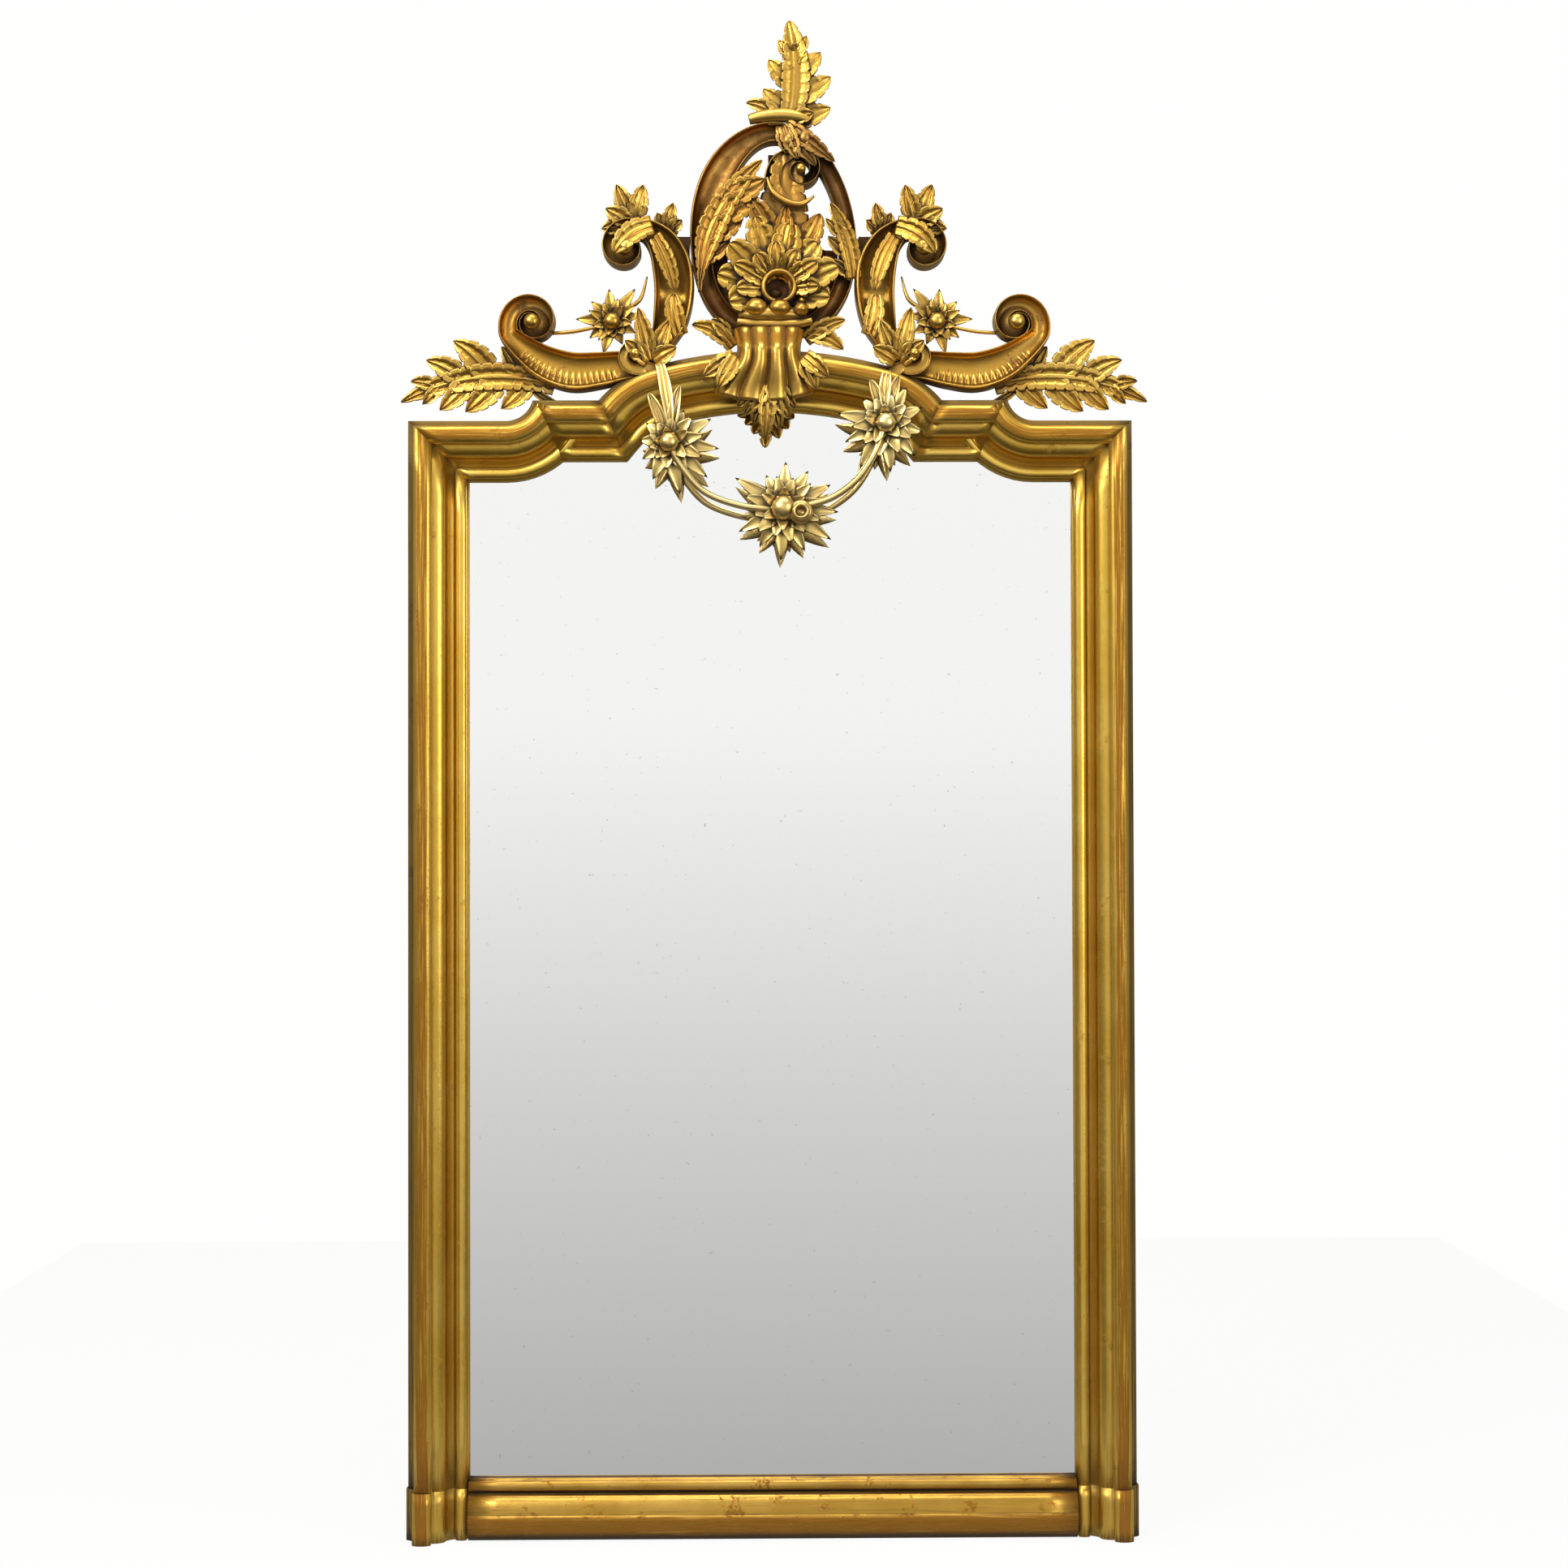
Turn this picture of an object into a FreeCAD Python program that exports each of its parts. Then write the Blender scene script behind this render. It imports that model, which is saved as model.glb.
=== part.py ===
import FreeCAD, Part
import Sketcher
import math
import os
from FreeCAD import Placement, Vector

# Gilt trumeau mirror. Millimetres. +Z is up, the wall is the plane y = 0, the front looks to -Y,
# and the origin is on the wall, in the middle of the foot.

FRONT = Vector(0, -1, 0)
LEFT, RIGHT = -1, 1
SIDE_NAMES = {LEFT: "left", RIGHT: "right"}
REACH = 3000.0  # longer than the whole mirror, for cutting tools

SIZES = [
    # the frame's outline
    ("half_width", 493.0),
    ("shoulder_height", 1515.0),
    ("step_rise", 28.0),
    ("arch_rise", 68.0),
    ("kink_half", 234.0),
    ("step_length", 89.8),
    ("cove_radius", 37.4),
    ("haunch_radius", 143.0),
    ("haunch_slope", 50.0),
    # the gilt mouldings
    ("moulding_width", 82.0),
    ("moulding_height", 50.0),
    ("bottom_width", 76.0),
    ("bottom_height", 42.0),
    ("bottom_clear", 5.0),
    ("plinth_height", 69.0),
    ("plinth_swell", 2.5),
    # the pine carcass behind them
    ("carcass_depth", 28.0),
    ("glass_lip", 10.0),
    ("board_lip", 12.0),
    ("board_rebate", 10.0),
    ("board_thickness", 8.0),
    ("board_gap", 1.0),
    ("glass_thickness", 4.0),
    ("glass_gap", 1.5),
    ("block_width", 10.0),
    ("block_depth", 12.0),
    ("block_length", 60.0),
    ("nail_half", 1.3),
    ("nail_length", 22.0),
    # the hangers let into the back
    ("hanger_drop", 225.0),
    ("hanger_recess", 13.0),
    ("hanger_recess_width", 50.0),
    ("strap_width", 24.0),
    ("strap_length", 74.0),
    ("strap_thickness", 2.0),
    ("ring_wire", 2.5),
    ("ring_clearance", 0.05),
    ("ring_drop", 30.0),
    ("ring_half_width", 17.0),
    ("strap_nail_half", 2.0),
    ("strap_nail_length", 14.0),
    # the carved crest
    ("crest_back", 10.0),
    ("crest_depth", 38.0),
    ("rim_width", 8.0),
    ("gouge_depth", 12.0),
    ("volute_radius", 36.0),
    ("facet", 14.0),
    ("eye_rise", 6.0),
    ("leaf_thickness", 8.0),
    ("right_drift", 12.0),
    ("batten_width", 44.0),
    ("batten_thickness", 10.0),
    ("batten_foot", 56.0),
    ("batten_rise", 275.0),
    ("batten_offset", 20.0),
    ("stem_radius", 4.5),
    ("wire_radius", 2.5),
]

doc = FreeCAD.newDocument("trumeau_mirror")
sheet = doc.addObject("Spreadsheet::Sheet", "sizes")
for row, (alias, value) in enumerate(SIZES, start=1):
    sheet.set(f"A{row}", alias)
    sheet.set(f"B{row}", str(value))
    sheet.setAlias(f"B{row}", alias)
doc.recompute()


def size(alias):
    """A driving dimension, read from the sheet."""
    return float(sheet.get(alias))


# ---------------------------------------------------------------- worked-out places

HALF = size("half_width")
SHOULDER = size("shoulder_height")
STEP = SHOULDER + size("step_rise")
APEX = STEP + size("arch_rise")
KINK = size("kink_half")
WIDTH = size("moulding_width")
MOULDING = size("moulding_height")
CARCASS = size("carcass_depth")
CARCASS_WIDTH = WIDTH - size("glass_lip")
SIGHT_LOW = size("bottom_clear") + size("bottom_width")
CARCASS_LOW = SIGHT_LOW - size("glass_lip")
FORE = CARCASS + MOULDING  # how far the mouldings stand off the wall
HANGER = SHOULDER - size("hanger_drop")

COVE = size("cove_radius")
COVE_Z = SHOULDER + COVE
COVE_X = KINK + size("step_length") + math.sqrt(COVE ** 2 - (COVE_Z - STEP) ** 2)

HAUNCH = size("haunch_radius")
SLOPE = math.radians(size("haunch_slope"))
HAUNCH_RUN = KINK - HAUNCH * math.sin(SLOPE)
HAUNCH_CLIMB = size("arch_rise") - HAUNCH * (1 - math.cos(SLOPE))
CROWN_ANGLE = 2 * math.atan(HAUNCH_CLIMB / HAUNCH_RUN)
CROWN = HAUNCH + HAUNCH_RUN / math.sin(CROWN_ANGLE)
CROWN_Z = APEX - CROWN
HAUNCH_X = (CROWN - HAUNCH) * math.sin(CROWN_ANGLE)
HAUNCH_Z = CROWN_Z + (CROWN - HAUNCH) * math.cos(CROWN_ANGLE)
MITRE_LEAN = math.tan(SLOPE / 2)  # the kink's mitre, sideways for each unit down

CREST_BACK = size("crest_back")
CREST_FRONT = CREST_BACK + size("crest_depth")
LEAF = size("leaf_thickness")


# ---------------------------------------------------------------- outlines

def front_point(x, z, fore=0.0):
    """A point of the front view; fore is how far it stands off the wall."""
    return Vector(x, -fore, z)


def plain(x, z):
    """Measures from the middle of the foot."""
    return x, z


def centre(x, up):
    """Measures from the top of the arch."""
    return x, APEX + up


def flank(side):
    """Measures of one half of the crest: outward and up from the kink in the frame's top."""
    drift = size("right_drift") if side == RIGHT else 0.0

    def place(out, up):
        return side * (KINK + out + drift), STEP + up
    return place


class Outline:
    """A closed outline of lines and arcs in the front view, drawn in a place's own measures.

    A joiner's outline keeps its arcs, and a carver's is cut in short flats.
    """

    def __init__(self, place, start):
        self.place = place
        self.start = start
        self.here = start
        self.edges = []

    def _at(self, point):
        return front_point(*self.place(*point))

    def line(self, *ends):
        for end in ends:
            self.edges.append(Part.LineSegment(self._at(self.here), self._at(end)).toShape())
            self.here = end
        return self

    def arc(self, through, end):
        edge = Part.Arc(*[self._at(point) for point in (self.here, through, end)]).toShape()
        if self.place is plain:
            self.edges.append(edge)
        else:
            cuts = max(2, round(edge.Length / size("facet")))
            self.edges += Part.makePolygon(edge.discretize(cuts + 1)).Edges
        self.here = end
        return self

    def wire(self):
        if self.here != self.start:
            self.line(self.start)
        return Part.Wire(self.edges)

    def solid(self, back, fore):
        """The outline as a board between two distances off the wall."""
        return board(self.wire(), back, fore)


def board(wire, back, fore):
    """Solid of a front-view wire between two distances off the wall."""
    face = Part.Face(wire)
    face.translate(FRONT * back)
    return face.extrude(FRONT * (fore - back))


def block(left, low, back, right, high, fore):
    """A plain block between two corners of the front view and two distances off the wall."""
    corner = Vector(min(left, right), -fore, low)
    return Part.makeBox(abs(right - left), fore - back, high - low, corner)


def top_line(inset, from_x):
    """Edges of the shaped top, inset from the frame's outer edge, from -from_x to +from_x."""
    low = SHOULDER - inset
    step = STEP - inset
    cove = COVE + inset
    cove_reach = math.sqrt(cove ** 2 - (COVE_Z - step) ** 2)
    cove_mid_angle = (math.atan2(step - COVE_Z, cove_reach) - math.pi / 2) / 2
    cove_mid_x = COVE_X - cove * math.cos(cove_mid_angle)
    cove_mid_z = COVE_Z + cove * math.sin(cove_mid_angle)
    mitre_x = KINK - inset * MITRE_LEAN

    def on_haunch(angle):
        """A point of the haunch, its angle measured from straight up, outwards."""
        radius = HAUNCH - inset
        return HAUNCH_X + radius * math.sin(angle), HAUNCH_Z + radius * math.cos(angle)

    start_x, start_z = on_haunch(SLOPE)
    mid_x, mid_z = on_haunch((SLOPE + CROWN_ANGLE) / 2)
    end_x, end_z = on_haunch(CROWN_ANGLE)
    outline = Outline(plain, (-from_x, low))
    outline.line((-COVE_X, low))
    outline.arc((-cove_mid_x, cove_mid_z), (cove_reach - COVE_X, step))
    outline.line((-mitre_x, step))
    if inset > 0:
        outline.line((-start_x, start_z))
    outline.arc((-mid_x, mid_z), (-end_x, end_z))
    outline.arc((0, APEX - inset), (end_x, end_z))
    outline.arc((mid_x, mid_z), (start_x, start_z))
    if inset > 0:
        outline.line((mitre_x, step))
    outline.line((COVE_X - cove_reach, step))
    outline.arc((cove_mid_x, cove_mid_z), (COVE_X, low))
    outline.line((from_x, low))
    return outline


def shaped_panel(inset, low):
    """Closed outline of a panel that follows the frame at an inset, with its foot at low."""
    edge = HALF - inset
    return top_line(inset, edge).line((edge, low), (-edge, low)).wire()


# ---------------------------------------------------------------- the document's objects

def origin_plane(body, role):
    return next(item for item in body.Origin.OriginFeatures if item.Role == role)


def new_body(label):
    body = doc.addObject("PartDesign::Body", label)
    body.Label = label
    return body


def new_sketch(body, name, role, offset):
    """A sketch on a plane of the body's own origin; offset holds expressions for x, y and z."""
    sketch = body.newObject("Sketcher::SketchObject", name)
    sketch.AttachmentSupport = [(origin_plane(body, role), "")]
    sketch.MapMode = "FlatFace"
    for axis, formula in zip("xyz", offset):
        sketch.setExpression(f"AttachmentOffset.Base.{axis}", formula)
    return sketch


def draw_closed(sketch, corners):
    """Lines round the corners, joined end to end."""
    count = len(corners)
    for index in range(count):
        line = Part.LineSegment(corners[index], corners[(index + 1) % count])
        sketch.addGeometry(line, False)
    for index in range(count):
        joint = Sketcher.Constraint("Coincident", index, 2, (index + 1) % count, 1)
        sketch.addConstraint(joint)
    sketch.addConstraint(Sketcher.Constraint("Coincident", 0, 1, -1, 1))


def rectangle(body, name, role, offset, width, height):
    """A rectangle from the sketch's origin, its two sides bound to expressions."""
    sketch = new_sketch(body, name, role, offset)
    draw_closed(sketch, [Vector(0, 0), Vector(10, 0), Vector(10, 10), Vector(0, 10)])
    for index in (0, 2):
        sketch.addConstraint(Sketcher.Constraint("Horizontal", index))
        sketch.addConstraint(Sketcher.Constraint("Vertical", index + 1))
    across = sketch.addConstraint(Sketcher.Constraint("DistanceX", 0, 1, 0, 2, 10.0))
    upward = sketch.addConstraint(Sketcher.Constraint("DistanceY", 1, 1, 1, 2, 10.0))
    sketch.setExpression(f"Constraints[{across}]", width)
    sketch.setExpression(f"Constraints[{upward}]", height)
    return sketch


def pad(body, sketch, length):
    feature = body.newObject("PartDesign::Pad", sketch.Name + "_pad")
    feature.Profile = sketch
    feature.setExpression("Length", length)
    return feature


def pocket(body, sketch, length, forward=False):
    """Cuts back towards the wall, or forward from it."""
    feature = body.newObject("PartDesign::Pocket", sketch.Name + "_pocket")
    feature.Profile = sketch
    feature.Reversed = forward
    feature.setExpression("Length", length)
    return feature


def front_pad(body, name, offset, width, height, depth):
    """Pad of a front-view rectangle; offset is x, z and the distance off the wall."""
    return pad(body, rectangle(body, name, "XZ_Plane", offset, width, height), depth)


def back_pocket(body, name, offset, width, height, depth):
    """Pocket of a front-view rectangle, from a distance off the wall back towards it."""
    return pocket(body, rectangle(body, name, "XZ_Plane", offset, width, height), depth)


def solid_node(label, shape):
    """A carved or turned piece whose shape is worked out from the sheet's values."""
    feature = doc.addObject("Part::Feature", label)
    feature.Label = label
    feature.Shape = shape
    feature.Placement = Placement()
    return feature


def cut_node(label, base, *tools):
    """A piece with openings for what goes through it."""
    for count, tool in enumerate(tools, start=1):
        last = count == len(tools)
        feature = doc.addObject("Part::Cut", label if last else f"{label}_cut_{count}")
        feature.Base = base
        feature.Tool = tool
        base = feature
    base.Label = label
    return base


def group_node(label, shapes):
    """Like pieces of one kind that share a node."""
    return solid_node(label, Part.makeCompound(shapes))


def joined(*shapes):
    """One solid from pieces that run into each other."""
    first, *rest = shapes
    return first.multiFuse(rest).removeSplitter()


def seated(shape, *neighbours):
    """A shape carved away where its neighbours stand, so that it meets them face to face."""
    carved = shape.cut(list(neighbours))
    return max(carved.Solids, key=lambda solid: solid.Volume)


# ---------------------------------------------------------------- the mouldings' sections

# Each step of a section is a line's end, or an arc's middle and end, as shares of the section's
# width (from its outer edge to the glass) and height (off the carcass). The main one has short
# flats where the plane leaves a round, so that its curved runs stay light.
MAIN_SECTION = [
    [(0.0, 0.28)],
    [(0.12, 0.46)],
    [(0.15, 0.77)],
    [(0.185, 0.93)],
    [(0.245, 1.0)],
    [(0.315, 1.0)],
    [(0.375, 0.93)],
    [(0.41, 0.77)],
    [(0.51, 0.71)],
    [(0.61, 0.57)],
    [(0.68, 0.36)],
    [(0.77, 0.22)],
    [(0.83, 0.34)],
    [(0.92, 0.34)],
    [(1.0, 0.16)],
    [(1.0, 0.0)],
    [(0.0, 0.0)],
]
BOTTOM_SECTION = [
    [(0.0, 0.25)],
    [(0.10, 0.82), (0.40, 1.0)],
    [(0.43, 0.93)],
    [(0.62, 0.86), (0.74, 0.55)],
    [(0.80, 0.36)],
    [(0.84, 0.46)],
    [(0.93, 0.46)],
    [(1.0, 0.22)],
    [(1.0, 0.0)],
    [(0.0, 0.0)],
]


def section_curves(section, at):
    """Curves of a section; at places a point from its shares."""
    curves = []
    here = at(0.0, 0.0)
    for step in section:
        points = [at(*shares) for shares in step]
        if len(points) == 1:
            curves.append(Part.LineSegment(here, points[0]))
        else:
            curves.append(Part.Arc(here, *points))
        here = points[-1]
    return curves


def section_face(position, inward):
    """The main section standing at a point of the outline, its width along inward."""
    def at(across, forth):
        return position + inward * (across * WIDTH) + FRONT * (CARCASS + forth * MOULDING)

    edges = [curve.toShape() for curve in section_curves(MAIN_SECTION, at)]
    return Part.Face(Part.Wire(edges))


def straight_run(start, end, inward):
    """Main moulding along a straight stretch of the outline."""
    return section_face(start, inward).extrude(end - start)


def curved_run(middle, radius, start_angle, turn, outward_bend):
    """Main moulding round an arc, its angles in degrees counter-clockwise in the front view."""
    angle = math.radians(start_angle)
    ray = Vector(math.cos(angle), 0, math.sin(angle))
    inward = ray * (1 if outward_bend else -1)
    face = section_face(middle + ray * radius, inward)
    return face.revolve(middle, FRONT, turn)


def mirrored(shape):
    return shape.mirror(Vector(0, 0, 0), Vector(1, 0, 0))


# ---------------------------------------------------------------- carcass

def carcass_stile(side):
    """One upright: halved at both ends, rebated for the boards and recessed for a hanger."""
    body = new_body(f"stile_blank_{SIDE_NAMES[side]}")
    tag = SIDE_NAMES[side]
    width = "(sizes.moulding_width - sizes.glass_lip)"
    low = "(sizes.bottom_clear + sizes.bottom_width - sizes.glass_lip)"
    outer = "-sizes.half_width" if side == LEFT else f"sizes.half_width - {width}"
    front_pad(body, f"stile_{tag}", (outer, "0", "0"), width, "sizes.shoulder_height",
              "sizes.carcass_depth")
    for name, foot, height in (
        ("low_halving", "0", low),
        ("high_halving", f"sizes.shoulder_height - {width}", width),
    ):
        back_pocket(body, f"{name}_{tag}", (outer, foot, "sizes.carcass_depth"), width, height,
                    "sizes.carcass_depth / 2")
    lip_x = (f"-sizes.half_width + {width} - sizes.board_lip" if side == LEFT
             else f"sizes.half_width - {width}")
    back_pocket(body, f"rebate_{tag}", (lip_x, f"{low} - sizes.board_lip", "sizes.board_rebate"),
                "sizes.board_lip",
                f"sizes.shoulder_height - {width} - {low} + 2 * sizes.board_lip",
                "sizes.board_rebate")
    middle = f"{side} * (sizes.half_width - ({width} - sizes.board_lip) / 2)"
    back_pocket(body, f"hanger_recess_{tag}",
                (f"{middle} - sizes.hanger_recess_width / 2",
                 "sizes.shoulder_height - sizes.hanger_drop - sizes.strap_length - 6", "sizes.hanger_recess"),
                "sizes.hanger_recess_width", "sizes.strap_length + sizes.ring_drop + 20",
                "sizes.hanger_recess")
    return body


def carcass_rail_bottom():
    """The foot rail: full length in front, its back half between the stiles, rebated above."""
    body = new_body("rail_bottom_blank")
    width = "(sizes.moulding_width - sizes.glass_lip)"
    height = "sizes.bottom_clear + sizes.bottom_width - sizes.glass_lip"
    front_pad(body, "rail_front", ("-sizes.half_width", "0", "sizes.carcass_depth / 2"),
              "2 * sizes.half_width", height, "sizes.carcass_depth / 2")
    front_pad(body, "rail_back", (f"-sizes.half_width + {width}", "0", "0"),
              f"2 * (sizes.half_width - {width})", height, "sizes.carcass_depth / 2")
    back_pocket(body, "rail_rebate",
                (f"-sizes.half_width + {width}", f"{height} - sizes.board_lip",
                 "sizes.board_rebate"),
                f"2 * (sizes.half_width - {width})", "sizes.board_lip + 1", "sizes.board_rebate")
    return body


def carcass_rail_top():
    """The shaped head rail, sawn to the frame's outline and housed for the crest's batten."""
    low = SHOULDER - CARCASS_WIDTH
    half_depth = CARCASS / 2
    outer = top_line(0.0, HALF).line((HALF, low), (-HALF, low)).wire()
    opening = top_line(CARCASS_WIDTH, HALF).line((HALF, low - REACH), (-HALF, low - REACH)).wire()
    blank = board(outer, 0.0, CARCASS).cut(board(opening, -1.0, CARCASS + 1))
    for side in (LEFT, RIGHT):
        inner = side * (HALF - CARCASS_WIDTH)
        blank = blank.cut(block(inner, low - 1, -1.0, side * HALF, SHOULDER + 1, half_depth))
    rebate = shaped_panel(CARCASS_WIDTH - size("board_lip"), 0.0)
    blank = blank.cut(board(rebate, -1.0, size("board_rebate")))
    return blank.cut(batten_blank())


def glazing_blocks():
    """Pine blocks glued round the opening behind the glass."""
    depth = size("block_depth")
    width = size("block_width")
    length = size("block_length")
    fore = CARCASS - size("glass_thickness")
    blocks = []
    opening = HALF - CARCASS_WIDTH
    heights = [CARCASS_LOW + share * (SHOULDER - WIDTH - CARCASS_LOW) for share in (0.12, 0.5, 0.88)]
    for side in (LEFT, RIGHT):
        for height in heights:
            blocks.append(block(side * opening, height - length / 2, fore - depth,
                                side * (opening - width), height + length / 2, fore))
    for share in (-0.6, 0.0, 0.6):
        x = share * opening
        blocks.append(block(x - length / 2, CARCASS_LOW, fore - depth,
                            x + length / 2, CARCASS_LOW + width, fore))
    return blocks


def backboard_strips():
    """Three upright boards, their heads sawn to the shaped rebate."""
    inset = CARCASS_WIDTH - size("board_lip") + size("board_gap")
    back = size("board_rebate") - size("board_thickness")
    low = CARCASS_LOW - size("board_lip") + size("board_gap")
    panel = board(shaped_panel(inset, low), back, size("board_rebate"))
    third = 2 * (HALF - inset) / 3
    gap = size("board_gap")
    strips = {}
    for index, name in enumerate(("left", "middle", "right")):
        left = -1.5 * third + index * third + (gap / 2 if index else -gap)
        right = -1.5 * third + (index + 1) * third - (gap / 2 if index < 2 else -gap)
        strips[name] = panel.common(block(left, 0, 0, right, REACH, CARCASS))
    return strips


def cut_nail(position, half, length):
    """A square nail driven to the front from position, its flat head flush there."""
    head = 2 * half
    shank = Part.makeBox(2 * half, length, 2 * half, position + Vector(-half, -length, -half))
    cap = Part.makeBox(2 * head, half, 2 * head, position + Vector(-head, -half, -head))
    return joined(shank, cap)


def backboard_nails():
    """Nails through the boards' edges into the carcass."""
    edge = CARCASS_WIDTH - size("board_lip") / 2
    back = size("board_rebate") - size("board_thickness")
    spots = []
    for side in (LEFT, RIGHT):
        for share in (0.15, 0.5, 0.8):
            spots.append((side * (HALF - edge), SHOULDER * share))
        spots.append((side * (KINK + 40), STEP - edge))
        spots.append((side * (KINK + 80), CARCASS_LOW - size("board_lip") / 2))
    spots.append((-30, APEX - edge))
    spots.append((0, CARCASS_LOW - size("board_lip") / 2))
    return [
        cut_nail(front_point(x, z, back), size("nail_half"), size("nail_length")) for x, z in spots
    ]


def mitred_sweep(path, section):
    """A bar of one section along straight runs, mitred where they meet."""
    sweep = Part.BRepOffsetAPI.MakePipeShell(path)
    sweep.setTransitionMode(1)
    sweep.add(section, False, False)
    sweep.build()
    sweep.makeSolid()
    return sweep.shape().removeSplitter()


# ---------------------------------------------------------------- hangers

def hanger_x(side):
    return side * (HALF - (CARCASS_WIDTH - size("board_lip")) / 2)


def hanger_axis_fore():
    """How far the ring's pin lies off the wall: the strap's eye rests in the recess."""
    eye = size("ring_wire") + size("ring_clearance") + size("strap_thickness")
    return size("hanger_recess") - eye


def hanger_strap(side, nails):
    """An iron strap with a rolled eye, nailed flat in its recess."""
    x = hanger_x(side)
    half = size("strap_width") / 2
    axis = hanger_axis_fore()
    floor = size("hanger_recess")
    height = HANGER
    bore = size("ring_wire") + size("ring_clearance")
    eye = bore + size("strap_thickness")
    strap = block(x - half, height - size("strap_length"), floor - size("strap_thickness"),
                  x + half, height, floor)
    roll = Part.makeCylinder(eye, 2 * half, front_point(x - half, height, axis), Vector(1, 0, 0))
    hole = Part.makeCylinder(bore, 2 * half + 2, front_point(x - half - 1, height, axis),
                             Vector(1, 0, 0))
    return strap.fuse(roll).cut(hole).cut(nails).removeSplitter()


def hanger_ring(side):
    """A ring of round iron rod with mitred corners, its top bar in the strap's eye."""
    x = hanger_x(side)
    half = size("ring_half_width")
    top = HANGER
    fore = hanger_axis_fore()
    corners = [
        front_point(x - half, top, fore),
        front_point(x + half, top, fore),
        front_point(x + half * 0.6, top - size("ring_drop"), fore),
        front_point(x - half * 0.6, top - size("ring_drop"), fore),
    ]
    start = (corners[3] + corners[2]) * 0.5
    path = Part.makePolygon([start, corners[3], corners[0], corners[1], corners[2], start])
    rod = Part.Wire(Part.makeCircle(size("ring_wire"), start, Vector(1, 0, 0)))
    return mitred_sweep(path, rod)


def hanger_nails(side):
    """Two forged nails through a strap, their heads flush with it."""
    face = size("hanger_recess") - size("strap_thickness")
    spots = [HANGER - share * size("strap_length") for share in (0.58, 0.88)]
    return [
        cut_nail(front_point(hanger_x(side), z, face), size("strap_nail_half"),
                 size("strap_nail_length"))
        for z in spots
    ]


# ---------------------------------------------------------------- crest: shared carving

def spine_point(root, bow, tip, share):
    """Point and left-hand normal of the curve through root, bow (half way) and tip."""
    weights = ((1 - share) * (1 - 2 * share), 4 * share * (1 - share), share * (2 * share - 1))
    slopes = (4 * share - 3, 4 - 8 * share, 4 * share - 1)
    points = (root, bow, tip)
    x, z = (sum(w * point[axis] for w, point in zip(weights, points)) for axis in (0, 1))
    dx, dz = (sum(w * point[axis] for w, point in zip(slopes, points)) for axis in (0, 1))
    length = math.hypot(dx, dz)
    return (x, z), (-dz / length, dx / length)


LOBE_BOW = 0.16  # how far a lobe's outer edge is bent out, as a share of its length


def leaf(place, root, bow, tip, half_width, lobes, back, rise=6.0, notch=0.5, stalk=0.35):
    """An acanthus leaf: lobes along both sides of a curved spine, its front folded along it.

    The lobes lean towards the tip. rise lifts the blade's edges in front of its middle, and a
    negative rise makes the middle a ridge.
    """
    def width_at(share):
        return half_width * max(math.sin(math.pi * (0.12 + 0.83 * share)), 0.2)

    def at(share, across):
        point, normal = spine_point(root, bow, tip, share)
        return point[0] + normal[0] * across, point[1] + normal[1] * across

    def bulge(foot, point, sign):
        """The bend in a lobe's outer edge, away from the spine."""
        dx, dz = point[0] - foot[0], point[1] - foot[1]
        return ((foot[0] + point[0]) / 2 - sign * dz * LOBE_BOW,
                (foot[1] + point[1]) / 2 + sign * dx * LOBE_BOW)

    outline = Outline(place, at(0.0, half_width * stalk))
    for sign in (1, -1):
        stations = range(lobes) if sign == 1 else reversed(range(lobes))
        for index in stations:
            low = index / lobes
            high = (index + 1) / lobes
            peak = low + 0.9 / lobes
            point = at(peak, sign * width_at(peak))
            notch_above = at(high, sign * width_at(high) * notch) if index < lobes - 1 else tip
            notch_below = at(low, sign * (width_at(low) * notch if index else half_width * stalk))
            if sign == 1:
                outline.line(bulge(notch_below, point, 1), point, notch_above)
            else:
                outline.line(point, bulge(notch_below, point, -1), notch_below)
    high_fore = back + LEAF + abs(rise)
    start = front_point(*place(*root))
    finish = front_point(*place(*tip))
    along = (finish - start).normalize()
    across = along.cross(FRONT)
    bend = (front_point(*place(*bow)) - (start + finish) * 0.5).dot(across) * 0.5
    reach = 2.5 * half_width + abs(bend)
    spine = back + LEAF + max(-rise, 0.0)
    lip = spine + rise * reach / half_width
    base = start - along * half_width * 2 + across * bend
    section = [(-reach, back - LEAF), (reach, back - LEAF), (reach, lip), (0, spine), (-reach, lip)]
    if lip < back - LEAF / 2:
        run = reach * (spine - back + LEAF / 2) / (spine - lip)
        section = [(-run, back - LEAF / 2), (run, back - LEAF / 2), (0, spine)]
    corners = [base + across * sideways + FRONT * fore for sideways, fore in section]
    fold = Part.Face(Part.makePolygon(corners + corners[:1]))
    fold = fold.extrude(along * ((finish - start).Length + half_width * 4))
    return outline.solid(back, high_fore).common(fold)


def petal(middle, direction, start, end, half_width, root_fore, tip_fore, thickness=3.0):
    """A pointed petal with a ridge, from start to end along direction in the front view."""
    across = direction.cross(FRONT)
    reach = (start + end) * 0.52
    fore = (root_fore + tip_fore) / 2

    def at(along, sideways, off):
        return middle + direction * along + across * sideways + FRONT * off

    root = at(start, 0, root_fore)
    tip = at(end, 0, tip_fore)
    sides = [at(reach, half_width, fore), at(reach, -half_width, fore)]
    ridge = at(reach, 0, fore + thickness)
    under = at(reach, 0, fore - thickness)
    faces = []
    for crest in (ridge, under):
        for side in sides:
            for end_point in (root, tip):
                ring = Part.makePolygon([end_point, side, crest, end_point])
                faces.append(Part.Face(ring))
    return Part.makeSolid(Part.makeShell(faces))


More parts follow.
